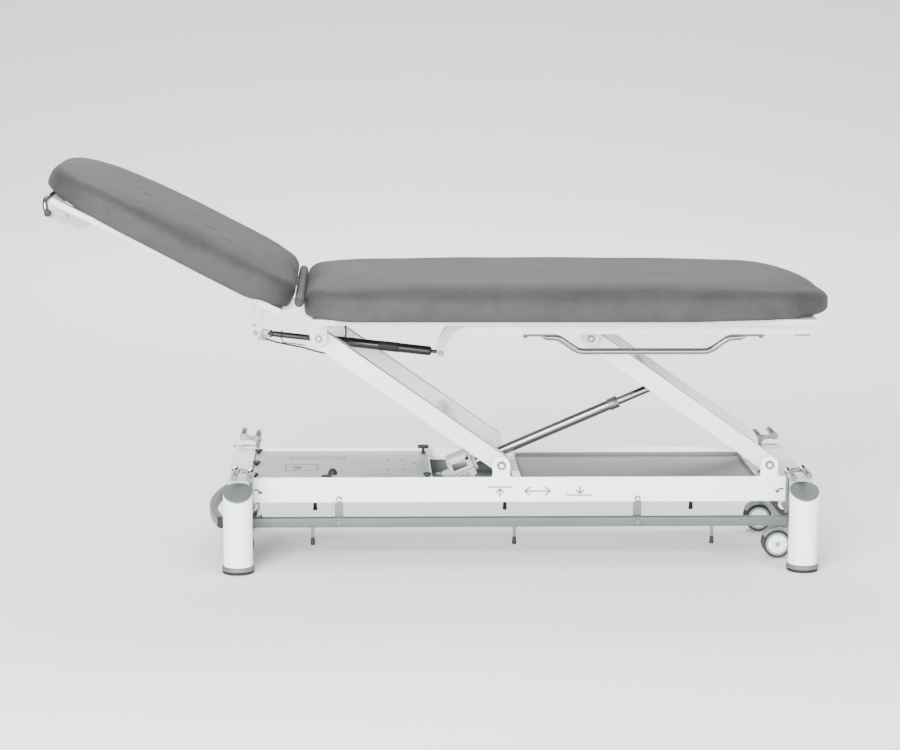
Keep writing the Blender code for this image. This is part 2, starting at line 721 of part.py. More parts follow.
def carrier(end):
    """A channel that holds two castors and slides down on two guide rods."""
    centre = end * POST_X
    low_x, high_x = sorted((centre - end * CARRIER_IN, centre + end * CARRIER_OUT))
    top = CARRIER_Z + CARRIER_H
    channel = block((low_x, -CARRIER_HALF_L, CARRIER_Z), (high_x, CARRIER_HALF_L, top))
    hollow = block((low_x + CARRIER_SHEET, -CARRIER_HALF_L - 0.01, CARRIER_Z - 0.01),
                   (high_x - CARRIER_SHEET, CARRIER_HALF_L + 0.01, top - CARRIER_SHEET))
    cut(channel, hollow)
    rods = []
    bosses = []
    bores = []
    for y in (-GUIDE_Y, GUIDE_Y):
        x = centre + end * GUIDE_OUT
        rods.append(rod((x, y, top - 0.002), (x, y, BEAM_TOP - 0.010), GUIDE_R, 12))
    swivel_x = end * (POST_X - SWIVEL_IN)
    for y in (-CASTOR_Y, CASTOR_Y):
        bosses.append(rod((swivel_x, y, CARRIER_Z), (swivel_x, y, top - 0.001), 0.012, 16))
        bores.append(rod((swivel_x, y, CARRIER_Z - 0.01), (swivel_x, y, top + 0.01), STEM_R + RUN, 12))
    weld(channel, *rods, *bosses)
    return cut(channel, *bores)


def castor_fork(end, side):
    """The body between the two wheels, its neck and the stem that turns in the carrier."""
    x, y = end * (POST_X - SWIVEL_IN), side * CASTOR_Y
    web = WHEEL_GAP / 2 - RUN
    axle_x = x - TRAIL
    outline = [*arc((axle_x, WHEEL_Z), 0.017, 120, 320, 6), (x + 0.010, WHEEL_Z + 0.024), (x + 0.012, CARRIER_Z - 0.010),
               (x - 0.014, CARRIER_Z - 0.010), (axle_x - 0.004, WHEEL_Z + 0.035)]
    body = plate(outline, y - web, y + web)
    neck = rod((x, y, CARRIER_Z - 0.016), (x, y, CARRIER_Z - SEAT), 0.013, 14)
    stem = rod((x, y, CARRIER_Z - 0.002), (x, y, CARRIER_Z + CARRIER_H + 0.003), STEM_R, 12)
    weld(body, neck, stem)
    return cut(body, rod((axle_x, y - 0.02, WHEEL_Z), (axle_x, y + 0.02, WHEEL_Z), AXLE_R + RUN, 12))


def castor_wheels(end, side):
    """Two dished wheels on one axle, each with a rounded tyre."""
    x, y = end * (POST_X - SWIVEL_IN) - TRAIL, side * CASTOR_Y
    r, w = WHEEL_R, WHEEL_W
    profile = [(0, w - 0.001), (r * 0.22, w - 0.001), (r * 0.28, w - 0.003), (r * 0.74, w - 0.003), (r * 0.80, w - 0.0005),
               (r - 0.004, w - 0.001), (r, w - 0.006), (r, 0.004), (r - 0.004, 0), (0, 0)]
    wheels = []
    for out in (-1, 1):
        wheels.append(turned(profile, across(x, y + out * WHEEL_GAP / 2, WHEEL_Z, out), 18))
    axle = rod((x, y - WHEEL_GAP / 2 - 0.002, WHEEL_Z), (x, y + WHEEL_GAP / 2 + 0.002, WHEEL_Z), AXLE_R, 12)
    return weld(axle, *wheels)


def pedal_shaft(end):
    """A shaft across the table with a cam pair in the middle and a two-pad pedal at each side."""
    x = end * (POST_X - SHAFT_IN)
    shaft = rod((x, -SHAFT_HALF_L, SHAFT_Z), (x, SHAFT_HALF_L, SHAFT_Z), SHAFT_R, 14)
    pieces = []
    for side in (-1, 1):
        y = side * CAM_Y
        tip = (x + end * CAM_REACH, SHAFT_Z - CAM_DROP)
        hull = convex([*ring((x, SHAFT_Z), SHAFT_R + 0.003, 12), *ring(tip, CAM_TIP_R, 10)])
        pieces.append(plate(hull, y - CAM_W / 2, y + CAM_W / 2))
        arm_y = side * PEDAL_ARM_Y
        pieces.append(rod((x, arm_y, SHAFT_Z), (x, arm_y, PEDAL_Z - 0.006), PEDAL_ARM_R, 12))
        pieces.append(pedal_loop(x, arm_y, end, side))
    return weld(shaft, *pieces)


def convex(points):
    """The convex outline around points of the XZ plane."""
    points = sorted(set(points))
    turn = lambda o, a, b: (a[0] - o[0]) * (b[1] - o[1]) - (a[1] - o[1]) * (b[0] - o[0])
    halves = []
    for run in (points, points[::-1]):
        half = []
        for p in run:
            while len(half) > 1 and turn(half[-2], half[-1], p) <= 0:
                half.pop()
            half.append(p)
        halves.append(half[:-1])
    return halves[0] + halves[1]


def pedal_loop(x, y, end, side):
    """A long ring plate, raised towards the table's end, with a round pad at each end."""
    reach = PEDAL_SPACING
    tilt = PEDAL_TILT
    outer = [*arc((0, 0), PEDAL_RING_R, 90, 270, 6), *arc((reach, 0), PEDAL_RING_R, -90, 90, 6)]
    slot = [*arc((reach * 0.3, 0), 0.0035, 90, 270, 4), *arc((reach * 0.7, 0), 0.0035, -90, 90, 4)]
    loop = plate(outer, -PEDAL_RING_T / 2, PEDAL_RING_T / 2, [slot])
    pads = [rod((px, side * 0.001, 0), (px, side * (PEDAL_END_Y - abs(y)), 0), PEDAL_PAD_R, 12) for px in (0, reach)]
    place = Matrix.Translation((x, y, PEDAL_Z)) @ Matrix.Rotation(-end * tilt, 4, "Y") @ Matrix.Scale(end, 4, (1, 0, 0))
    for each in (loop, *pads):
        each.data.transform(place)
    return flatten(weld(loop, *pads))


for end, word in ((-1, "head"), (1, "foot")):
    part(f"castor_carrier_{word}", carrier(end), STEEL)
    part(f"pedal_shaft_{word}", pedal_shaft(end), CHROME, (end * (POST_X - SHAFT_IN), 0, SHAFT_Z))
    for side, place in ((-1, "near"), (1, "far")):
        swivel = (end * (POST_X - SWIVEL_IN), side * CASTOR_Y, CARRIER_Z)
        part(f"castor_fork_{word}_{place}", castor_fork(end, side), CASTOR_GREY, swivel)
        axle = (swivel[0] - TRAIL, swivel[1], WHEEL_Z)
        part(f"castor_wheels_{word}_{place}", castor_wheels(end, side), RUBBER, axle)


# Foot bar

def foot_bar():
    """Two side bars joined round the head end by a bow, bored for the link pins."""
    bow_a = BAR_Y
    path = [(BAR_FOOT_X, -BAR_Y)]
    bow = [(BAR_BOW_X - BOW_REACH * sin(pi * k / 14), -bow_a * cos(pi * k / 14)) for k in range(15)]
    path += bow
    path.append((BAR_FOOT_X, BAR_Y))
    outer = []
    inner = []
    for i, (px, py) in enumerate(path):
        before = path[max(i - 1, 0)]
        after = path[min(i + 1, len(path) - 1)]
        run = Vector((after[0] - before[0], after[1] - before[1])).normalized()
        normal = Vector((run.y, -run.x))
        outer.append((px - normal.x * BAR_W / 2, py - normal.y * BAR_W / 2))
        inner.append((px + normal.x * BAR_W / 2, py + normal.y * BAR_W / 2))
    bar = plate([(px, py) for px, py in outer + inner[::-1]], -BAR_H / 2, BAR_H / 2)
    bar.data.transform(Matrix.Translation((0, 0, BAR_Z)) @ Matrix.Rotation(-pi / 2, 4, "X") @ Matrix.Scale(-1, 4, (0, 0, 1)))
    bar.data.flip_normals()
    holes = [rod((x, side * (BAR_Y - 0.02), BAR_Z), (x, side * (BAR_Y + 0.02), BAR_Z), LINK_PIN_R + SEAT, 12)
             for x in LINK_X for side in (-1, 1)]
    cut(bar, *holes)
    tip = [(0, PEG_TIP_H), (PEG_TIP_R * 0.8, PEG_TIP_H), (PEG_TIP_R, PEG_TIP_H * 0.4), (PEG_TIP_R, 0), (0, 0)]
    for x in PEG_X:
        for y in (-BAR_Y, BAR_Y):
            weld(bar, rod((x, y, BAR_Z - BAR_H / 2 + 0.002), (x, y, PEG_BOTTOM + PEG_TIP_H - 0.002), PEG_R, 8),
                 turned(tip, Matrix.Translation((x, y, PEG_BOTTOM)), 10))
    return bar


def swing_link(x, side):
    """A strap with its lower pin, hanging from the bolt in the rail."""
    outer = side * LINK_Y
    inner = side * (LINK_Y - LINK_SHEET)
    half = LINK_W / 2
    outline = [*arc((x, LINK_TOP_Z), half * 0.8, 0, 180, 6), (x - half, LINK_TOP_Z - 0.012),
               *arc((x, BAR_Z), half, 180, 360, 8), (x + half, LINK_TOP_Z - 0.012)]
    strap = plate(outline, outer, inner, [ring((x, LINK_TOP_Z), LINK_PIN_R + SEAT, 12)])
    pin = rod((x, inner + side * 0.001, BAR_Z), (x, side * (BAR_Y + BAR_W / 2 + 0.001), BAR_Z), LINK_PIN_R, 12)
    head = rod((x, side * (BAR_Y + BAR_W / 2 + SEAT), BAR_Z), (x, side * (BAR_Y + BAR_W / 2 + 0.0035), BAR_Z), 0.0075, 16,
               0.006)
    return weld(strap, pin, head)


part("foot_bar", foot_bar(), GREY_COAT)
for x, word in zip(LINK_X, ("head", "foot")):
    for side, place in ((-1, "near"), (1, "far")):
        part(f"swing_link_{word}_{place}", swing_link(x, side), STEEL, (x, side * LINK_Y, LINK_TOP_Z))


# Lifting arms

def arm_frame(foot):
    """Two arms joined by a cross tube; the foot pair also carries the rod clevis."""
    x0, z0 = LOWER_PIVOTS[foot], LOWER_PIVOT_Z
    place = Matrix.Translation((x0, 0, z0)) @ Matrix.Rotation(ARM_REST, 4, "Y")
    half = ARM_HEIGHT / 2
    outline = [*arc((0, 0), half, 90, -90, 8), *arc((-ARM_LENGTH, 0), half, 270, 90, 8)]
    frames = []
    for side in (-1, 1):
        y0, y1 = side * (ARM_Y - ARM_THICK / 2), side * (ARM_Y + ARM_THICK / 2)
        arm = plate(outline, y0, y1)
        face = side * (RAIL_Y - RAIL_SHEET - SEAT)
        for s in (0, -ARM_LENGTH):
            weld(arm, rod((s, side * ARM_Y, 0), (s, face, 0), BUSH_R, 14))
        for s in (0, -ARM_LENGTH):
            cut(arm, rod((s, side * 0.1, 0), (s, side * 0.2, 0), PIVOT_BORE, 12))
        frames.append(flatten(arm))
    tie_at = FOOT_TIE_AT if foot else HEAD_TIE_AT
    reach = ARM_Y - ARM_THICK / 2 + 0.002
    tie = rod((-tie_at, -reach, 0), (-tie_at, reach, 0), TIE_R, 16)
    pieces = [frames[1], tie]
    if foot:
        for side in (-1, 1):
            inner = side * (EYE_HALF_W + 0.0015)
            outer = side * (EYE_HALF_W + 0.0065)
            cheek = [*arc((-ROD_PIVOT_AT, 0), CHEEK_R, 90, -90, 8), (-tie_at - 0.003, -0.006), (-tie_at - 0.003, 0.011)]
            pieces.append(plate(cheek, inner, outer, [ring((-ROD_PIVOT_AT, 0), 0.005 + SEAT, 12)]))
    arms = flatten(weld(frames[0], *pieces))
    arms.data.transform(place)
    return arms


for foot, word in ((0, "head"), (1, "foot")):
    part(f"{word}_lift_arms", arm_frame(foot), WHITE, (LOWER_PIVOTS[foot], 0, LOWER_PIVOT_Z))


# Actuator, drawn along its own axis from the tail pin

def on_actuator(piece):
    piece.data.transform(along(TAIL_X, TAIL_Z, TILT))
    return piece


def lying(start):
    """A frame whose Z axis runs along +X, from a distance along the axis."""
    return Matrix.Translation((start, 0, 0)) @ Matrix.Rotation(pi / 2, 4, "Y")


def actuator_motor():
    """The gear and motor housing with its tail eye."""
    housing = block((MOTOR_START, -MOTOR_HALF_W, -MOTOR_BELOW), (MOTOR_END, MOTOR_HALF_W, MOTOR_ABOVE), 0.005, 2)
    neck = block((0.010, -EYE_HALF_W, -0.010), (MOTOR_START + 0.002, EYE_HALF_W, 0.010))
    eye = rod((0, -EYE_HALF_W, 0), (0, EYE_HALF_W, 0), 0.0115, 20)
    weld(housing, neck, eye)
    bore = rod((0, -0.03, 0), (0, 0.03, 0), 0.005 + RUN, 16)
    vents = [block((MOTOR_START + 0.012 + 0.007 * k, -0.016, MOTOR_ABOVE - 0.0015),
                   (MOTOR_START + 0.015 + 0.007 * k, 0.016, MOTOR_ABOVE + 0.01)) for k in range(5)]
    for piece in (bore, *vents):
        on_actuator(piece)
    return cut(on_actuator(flatten(housing)), bore, *vents)


def actuator_tube():
    """The guide tube and the collar at its end."""
    length = TUBE_END - MOTOR_END - SEAT
    c = COLLAR_LENGTH
    profile = [(TUBE_COLLAR_R - 0.001, length), (TUBE_COLLAR_R, length - 0.001), (TUBE_COLLAR_R, length - c + 0.001),
               (TUBE_COLLAR_R - 0.001, length - c), (TUBE_R, length - c), (TUBE_R, 0), (TUBE_BORE, 0), (TUBE_BORE, length)]
    return on_actuator(turned(profile, lying(MOTOR_END + SEAT), 24))


def actuator_rod():
    """The thrust tube and its eye."""
    shank = rod((ROD_START, 0, 0), (ROD_LENGTH - EYE_R * 0.6, 0, 0), ROD_R, 20)
    eye = rod((ROD_LENGTH, -EYE_HALF_W, 0), (ROD_LENGTH, EYE_HALF_W, 0), EYE_R, 20)
    weld(shank, eye)
    cut(shank, rod((ROD_LENGTH, -0.03, 0), (ROD_LENGTH, 0.03, 0), 0.006, 16))
    return on_actuator(flatten(shank))


part("actuator_motor", actuator_motor(), COVER_GREY, (TAIL_X, 0, TAIL_Z))
part("actuator_tube", actuator_tube(), ALUMINIUM, (TAIL_X, 0, TAIL_Z))
part("actuator_rod", actuator_rod(), CHROME, (TAIL_X, 0, TAIL_Z))


# Main section of the top

CROSS_BEFORE_PIVOT = 0.03069
CROSS_X = (FRAME_HEAD_X, -0.135, UPPER_PIVOTS[1] - CROSS_BEFORE_PIVOT)


def main_frame():
    """A flat welded frame of rectangular tube with pivot ears, hinge ears and cross members."""
    inner = FRAME_HALF_W - FRAME_TUBE
    frame = block((FRAME_HEAD_X, -FRAME_HALF_W, FRAME_BOTTOM), (FRAME_FOOT_X, FRAME_HALF_W, FRAME_TOP))
    windows = []
    starts = [FRAME_HEAD_X + 0.045, CROSS_X[1] + 0.040, CROSS_X[2] + 0.070]
    ends = [CROSS_X[1], CROSS_X[2], FRAME_FOOT_X - FRAME_TUBE]
    for x0, x1 in zip(starts, ends):
        windows.append(block((x0, -inner, FRAME_BOTTOM - 0.01), (x1, inner, FRAME_TOP + 0.01)))
    cut(frame, *windows)
    reach = BOX_Y - BOX_W - SEAT
    pieces = [block((x0, -reach, CROSS_BOTTOM), (x1, reach, FRAME_BOTTOM + 0.002))
              for x0, x1 in ((CROSS_X[1], CROSS_X[1] + 0.040), (CROSS_X[2], CROSS_X[2] + 0.070))]
    for side in (-1, 1):
        y0, y1 = side * EAR_Y, side * (EAR_Y - EAR_SHEET + 0.001)
        for x, wide in zip(UPPER_PIVOTS, (0.024, 0.031)):
            bottom = arc((x, UPPER_PIVOT_Z), EAR_R, 180, 360, 10)
            ear = [(x - wide, FRAME_BOTTOM + 0.002), (x - wide, UPPER_PIVOT_Z + 0.012), *bottom,
                   (x + EAR_R + 0.001, FRAME_BOTTOM + 0.002)]
            pieces.append(plate(ear, y0, y1))
        ear_y = side * HINGE_EAR_Y
        r = HINGE_EAR_R
        ear = [(FRAME_HEAD_X - 0.001, FRAME_BOTTOM), (FRAME_HEAD_X + 0.020, FRAME_BOTTOM + 0.001),
               (FRAME_HEAD_X + 0.020, FRAME_TOP - 0.001), (FRAME_HEAD_X - 0.001, FRAME_TOP + 0.006),
               *arc((HINGE_X, HINGE_Z), r, 20, 200, 8), (HINGE_X - r, FRAME_BOTTOM + 0.010)]
        pieces.append(plate(convex(ear), ear_y, ear_y + side * HINGE_EAR_SHEET))
        for x in UPPER_PIVOTS:
            pieces += stud(x, UPPER_PIVOT_Z, y0, side, side * (ARM_Y - ARM_THICK / 2 - 0.004), PIVOT_R, BOLT_HEAD_R * 0.8)
        pieces.append(rod((HINGE_X, ear_y - side * 0.002, HINGE_Z),
                          (HINGE_X, ear_y + side * (2 * HINGE_EAR_SHEET + 0.003), HINGE_Z), HINGE_PIN_R, 12))
    return weld(frame, *pieces)


def side_box(side):
    """A deep box rail under the frame, its head end cut on the slant."""
    outer, inner = side * BOX_Y, side * (BOX_Y - BOX_W)
    outline = [(BOX_HEAD_X, BOX_BOTTOM), (BOX_FOOT_X, BOX_BOTTOM), (BOX_FOOT_X, BOX_TOP), (BOX_HEAD_X - BOX_SLANT, BOX_TOP)]
    return plate(outline, outer, inner)


def spring_bracket():
    """Two curved cheeks that carry the fixed end of the gas spring."""
    top = CROSS_BOTTOM - SEAT
    pieces = []
    for side in (-1, 1):
        inner, outer = side * LEVER_GAP, side * (LEVER_GAP + LEVER_SHEET)
        right = arc((SPRING_X + 0.0896, SPRING_Z - 0.004), 0.078, 180, 90, 8)
        left = arc((SPRING_X + 0.1026, SPRING_Z), 0.1115, 126, 180, 8)
        foot = arc((SPRING_X, SPRING_Z - 0.002), 0.0095, 180, 360, 6)
        outline = [*left, *foot, *right, (-0.096, top - 0.0159), (-0.096, top), (-0.130, top)]
        pieces.append(plate(outline, inner, outer))
    bridge = block((-0.128, -LEVER_GAP - 0.002, top - 0.006), (-0.098, LEVER_GAP + 0.002, top))
    reach = LEVER_GAP + LEVER_SHEET + 0.003
    return weld(pieces[0], pieces[1], bridge, rod((SPRING_X, -reach, SPRING_Z), (SPRING_X, reach, SPRING_Z), SPRING_PIN_R, 12))


def grip_rail(side):
    """A bent round rail with flattened, screwed ends under the side box."""
    y = side * GRIP_Y
    top = BOX_BOTTOM - SEAT
    axis_z = top - GRIP_R
    low = axis_z - GRIP_DROP
    route = fillet([(GRIP_X0 + GRIP_FLAT * 0.7, y, axis_z), (GRIP_X0 + GRIP_FLAT + 0.032, y, axis_z), (GRIP_LOW_X0, y, low),
                    (GRIP_LOW_X1, y, low), (GRIP_X1 - GRIP_FLAT - 0.032, y, axis_z), (GRIP_X1 - GRIP_FLAT * 0.7, y, axis_z)],
                   0.030, 3)
    rail_pipe = pipe(route, GRIP_R, 2)
    tabs = []
    for x0, x1 in ((GRIP_X0 - 0.010, GRIP_X0 + GRIP_FLAT), (GRIP_X1 - GRIP_FLAT, GRIP_X1 + 0.010)):
        tabs.append(block((x0, y - 0.010, top - 0.005), (x1, y + 0.010, top), 0.0015, 1))
    screws = [rod((x, y, top - 0.009), (x, y, top - 0.002), 0.006, 12) for x in (GRIP_X0, GRIP_X1)]
    return weld(rail_pipe, *tabs, *screws)


def pad(x0, x1, z0, r0, r1):
    """An upholstered pad: plan corners and long edges rounded, drawn as stacked offset outlines."""
    def plan(inset, z):
        half = PAD_HALF_W - inset
        a, b = x0 + inset, x1 - inset
        ra, rb = max(r0 - inset, 0.004), max(r1 - inset, 0.004)
        corners = [((b - rb, half - rb), rb, 0), ((a + ra, half - ra), ra, 90),
                   ((a + ra, -half + ra), ra, 180), ((b - rb, -half + rb), rb, 270)]
        points = []
        for centre, r, start in corners:
            points += arc(centre, r, start, start + 90, 8)
        return [Vector((px, py, z)) for px, py in points]
    e = PAD_EDGE_RADIUS
    low = PAD_EDGE_RADIUS * 0.5
    rings = [(low, z0), (low * 0.3, z0 + low * 0.3), (0, z0 + low)]
    rings += [(e * (1 - cos(radians(a))), z0 + PAD_THICK - e + e * sin(radians(a))) for a in (0, 30, 60)]
    rings.append((e, z0 + PAD_THICK))
    bm = bmesh.new()
    loops = [[bm.verts.new(p) for p in plan(inset, z)] for inset, z in rings]
    count = len(loops[0])
    for lower, upper in zip(loops, loops[1:]):
        for k in range(count):
            bm.faces.new((lower[k], lower[(k + 1) % count], upper[(k + 1) % count], upper[k]))
    bm.faces.new(loops[0][::-1])
    bm.faces.new(loops[-1])
    return from_bmesh(bm)


def hinge_slot(x0, x1, z0, z1, side):
    """A slot in a pad's end that clears the hinge ears and their pin."""
    y0 = side * (HINGE_EAR_Y - 0.003)
    y1 = side * (HINGE_EAR_Y + 2 * HINGE_EAR_SHEET + 0.004)
    return block((min(x0, x1), min(y0, y1), z0), (max(x0, x1), max(y0, y1), z1))


def main_pad():
    body = pad(MAIN_PAD_HEAD_X, PAD_FOOT_X, PAD_BOTTOM, PAD_HINGE_RADIUS, PAD_END_RADIUS)
    slots = [hinge_slot(MAIN_PAD_HEAD_X - 0.01, FRAME_HEAD_X + 0.023, PAD_BOTTOM - 0.01, HINGE_Z + HINGE_EAR_R + 0.002, side)
             for side in (-1, 1)]
    return cut(body, *slots)


def filler_spans():
    """The three lengths of the hinge filler, which leave room for the hinge ears."""
    gap = 0.003
    outer = PAD_HALF_W - 0.010
    inner_ear = HINGE_EAR_Y - gap
    outer_ear = HINGE_EAR_Y + 2 * HINGE_EAR_SHEET + gap
    return (("near", -outer, -outer_ear), ("middle", -inner_ear, inner_ear), ("far", outer_ear, outer))


def hinge_filler(y0, y1):
    """A padded roll that fills the gap between the two pads."""
    return plate(ring((MAIN_PAD_HEAD_X - SEAT - FILLER_R, HINGE_Z + FILLER_R - SEAT), FILLER_R, 14), y0, y1)


part("main_frame", main_frame(), WHITE, (UPPER_PIVOTS[0], 0, UPPER_PIVOT_Z))
for side, place in ((-1, "near"), (1, "far")):
    part(f"side_box_{place}", side_box(side), WHITE)
    part(f"grip_rail_{place}", grip_rail(side), CHROME)
part("spring_bracket", spring_bracket(), WHITE)
part("main_pad", main_pad(), LEATHERETTE)
for place, y0, y1 in filler_spans():
    part(f"hinge_filler_{place}", hinge_filler(y0, y1), LEATHERETTE)


# Backrest, drawn flat around the hinge and turned by BACK_REST

def back_part(name, made, finish):
    return part(name, made, finish, (HINGE_X, 0, HINGE_Z), turn=BACK_REST)


def tilt_tools(made):
    """Turn the live cutters of a backrest piece with it."""
    place = Matrix.Translation((HINGE_X, 0, HINGE_Z)) @ Matrix.Rotation(BACK_REST, 4, "Y")
    for tool in tools_of(made):
        tool.data.transform(place)
    return made


def head_frame():
    """The backrest's flat tube frame with its hinge ears."""
    x0, x1 = -BACK_FRAME_END, -BACK_FRAME_NEAR
    inner = FRAME_HALF_W - FRAME_TUBE
    frame = block((x0, -FRAME_HALF_W, BACK_FRAME_BOTTOM), (x1, FRAME_HALF_W, BACK_FRAME_TOP))
    low, high = BACK_FRAME_BOTTOM - 0.01, BACK_FRAME_TOP + 0.01
    cut(frame, block((x0 + FRAME_TUBE, -inner, low), (LEVER_X - 0.077, inner, high)))
    ears = []
    for side in (-1, 1):
        y0 = side * (HINGE_EAR_Y + HINGE_EAR_SHEET + SEAT)
        y1 = y0 + side * HINGE_EAR_SHEET
        r = HINGE_EAR_R
        ear = [(x1 - 0.030, BACK_FRAME_BOTTOM + 0.001), (x1 + 0.001, BACK_FRAME_BOTTOM + 0.001),
               *arc((0, 0), r, -60, 150, 10), (x1 - 0.030, BACK_FRAME_TOP - 0.001)]
        ears.append(plate(convex(ear), y0, y1))
    weld(frame, *ears)
    return cut(frame, *[rod((0, side * (HINGE_EAR_Y + 0.003), 0), (0, side * (HINGE_EAR_Y + 0.015), 0), HINGE_PIN_R + SEAT, 12)
                        for side in (-1, 1)])


def head_pad():
    body = pad(-BACK_PAD_END, -BACK_PAD_NEAR, BACK_PAD_BOTTOM, PAD_END_RADIUS, PAD_HINGE_RADIUS)
    slots = [hinge_slot(-BACK_FRAME_NEAR - 0.045, -BACK_PAD_NEAR + 0.01, BACK_PAD_BOTTOM - 0.01, HINGE_EAR_R + 0.002, side)
             for side in (-1, 1)]
    return cut(body, *slots)


def spring_lever():
    """Two slotted cheeks under the backrest that take the spring's moving end."""
    top = BACK_FRAME_BOTTOM - SEAT
    x, z = LEVER_X, LEVER_Z
    pieces = []
    for side in (-1, 1):
        inner, outer = side * LEVER_GAP, side * (LEVER_GAP + LEVER_SHEET)
        outline = [(x - 0.0585, top), (x - 0.029, z - 0.003), *arc((x, z), 0.0125, 250, 360, 5), (x + 0.005, top)]
        window = [(x - 0.043, top - 0.010), (x - 0.0135, z + 0.012), (x - 0.0085, z + 0.016), (x - 0.0085, top - 0.010)]
        pieces.append(plate(outline, inner, outer, [window]))
    bridge = block((x - 0.056, -LEVER_GAP - 0.002, top - 0.004), (x + 0.004, LEVER_GAP + 0.002, top))
    studs = [rod((x, side * (LEVER_GAP + 0.0005), z), (x, side * (LEVER_GAP + LEVER_SHEET + 0.0035), z), 0.0065, 12)
             for side in (-1, 1)]
    return weld(pieces[0], pieces[1], bridge, *studs)


ROLL_Y = 0.262
ROLL_KNOB = (-0.674, -0.077)


def roll_plate(side):
    """A side plate of the paper roll holder, with its bolt and its hand knob."""
    top = BACK_FRAME_BOTTOM - SEAT
    outline = [(-0.640, top), (-0.560, top), *arc((-0.590, top - 0.010), 0.018, 330, 260, 4),
               (-0.664, -0.086), *arc((ROLL_KNOB[0] + 0.004, ROLL_KNOB[1]), 0.010, 250, 110, 5)]
    sheet = plate(outline, side * ROLL_Y, side * (ROLL_Y + 0.004))
    bolt = rod((-0.629, side * (ROLL_Y + 0.0017), -0.067), (-0.629, side * (ROLL_Y + 0.008), -0.067), 0.006, 12)
    x, z = ROLL_KNOB
    profile = [(0, 0.016), (0.006, 0.016), (0.009, 0.013), (0.009, 0.004), (0.0065, 0.001), (0.0065, -0.0013), (0, -0.0013)]
    return weld(sheet, bolt, turned(profile, across(x, side * (ROLL_Y + 0.003), z, side), 12))


def roll_bar():
    """The chrome bar that turns up from each plate and runs across under the pad."""
    x, z = ROLL_KNOB
    seat = ROLL_Y - SEAT
    y = ROLL_Y - 0.012
    half = [(x, -y - 0.005, z), (x - 0.010, -y, z + 0.004), (x - 0.020, -y + 0.006, z + 0.020), (x - 0.018, -y + 0.022, z + 0.031),
            (x - 0.016, -y + 0.050, z + 0.033), (x - 0.016, -y * 0.4, z + 0.033)]
    full = [*half, *[(px, -py, pz) for px, py, pz in reversed(half)]]
    return pipe([(x, -seat, z), *smooth_route(full, 2), (x, seat, z)], 0.006, 2)


for name, make, finish in (("head_frame", head_frame, WHITE), ("head_pad", head_pad, LEATHERETTE),
                           ("spring_lever", spring_lever, WHITE), ("roll_bar", roll_bar, CHROME)):
    back_part(name, tilt_tools(make()), finish)
for side, place in ((-1, "near"), (1, "far")):
    back_part(f"roll_plate_{place}", tilt_tools(roll_plate(side)), COVER_GREY)


# Gas spring, drawn along its own axis from the fixed pin

def on_spring(piece):
    place = Matrix.Translation((SPRING_X, 0, SPRING_Z)) @ Matrix.Rotation(SPRING_TILT, 4, "Y") @ Matrix.Rotation(pi, 4, "Z")
    piece.data.transform(place)
    return piece


def gas_cylinder():
    """The pressure tube, bored for its rod, with the fixed eye."""
    start, end = CYLINDER_START, CYLINDER_END
    r, bore = CYLINDER_R, SPRING_ROD_R + RUN
    length = end - start
    profile = [(0, 0.030), (bore, 0.030), (bore, length), (r - 0.003, length), (r, length - 0.004), (r, 0.008),
               (r - 0.004, 0), (0, 0)]
    tube = turned(profile, lying(start), 24)
    neck = block((0.006, -0.0045, -0.0045), (start + 0.002, 0.0045, 0.0045))
    eye = turned([(SPRING_PIN_R + RUN, 0.011), (0.0085, 0.011), (0.0085, -0.011), (SPRING_PIN_R + RUN, -0.011)],
                 across(0, 0, 0), 16)
    return on_spring(flatten(weld(tube, neck, eye)))


def gas_rod():
    """The rod, its thin collar and the release head with its cable barrel."""
    end = SPRING_LENGTH
    shank = rod((SPRING_ROD_START, 0, 0), (end - 0.026, 0, 0), SPRING_ROD_R, 16)
    collar = rod((end - 0.070, 0, 0), (end - 0.067, 0, 0), 0.009, 12)
    head = block((end - 0.034, -0.009, -0.009), (end - 0.012, 0.009, 0.009), 0.002, 1)
    tongue = block((end - 0.016, -0.005, -0.006), (end + 0.006, 0.005, 0.006))
    barrel = rod((end - 0.034, 0, -0.016), (end - 0.008, 0, -0.016), 0.004, 10)
    stem = block((end - 0.026, -0.004, -0.016), (end - 0.018, 0.004, -0.008))
    return on_spring(flatten(weld(shank, collar, head, tongue, barrel, stem)))


def spring_point(along_axis, up):
    """A point beside the spring's axis, in table coordinates."""
    c, s = cos(SPRING_TILT), sin(SPRING_TILT)
    return (SPRING_X - along_axis * c + up * s, 0.0, SPRING_Z + along_axis * s + up * c)


LEVER_PIVOT = (-0.400, 0.275)


def release_cable():
    """The release cable from the spring's head to the hand lever, one smooth run."""
    start = spring_point(SPRING_LENGTH - 0.034 - 0.001, -0.016)
    x, y = LEVER_PIVOT
    z = PAD_BOTTOM
    route = [start, (start[0] + 0.030, 0.004, start[2] - 0.010), (-0.570, 0.014, z - 0.121), (-0.500, 0.028, z - 0.140),
             (-0.462, 0.044, z - 0.122), (-0.452, 0.060, z - 0.085), (-0.462, 0.080, z - 0.053), (-0.462, 0.110, z - 0.035),
             (-0.445, 0.160, z - 0.029), (-0.420, 0.190, z - 0.025), (x, y - 0.0695, z - 0.0225)]
    return pipe(smooth_route(route, 3), 0.0022, 1)


def release_lever():
    """The hand lever under the far side of the frame."""
    x, y = LEVER_PIVOT
    z = FRAME_BOTTOM - SEAT
    arm = block((x - 0.006, y - 0.067, z - 0.009), (x + 0.006, y + 0.020, z - 0.003))
    hub = rod((x, y, z - 0.010), (x, y, z), 0.010, 14)
    grip = rod((x, y + 0.006, z - 0.010), (x, y + 0.045, z - 0.010), 0.007, 12)
    return weld(hub, arm, grip)


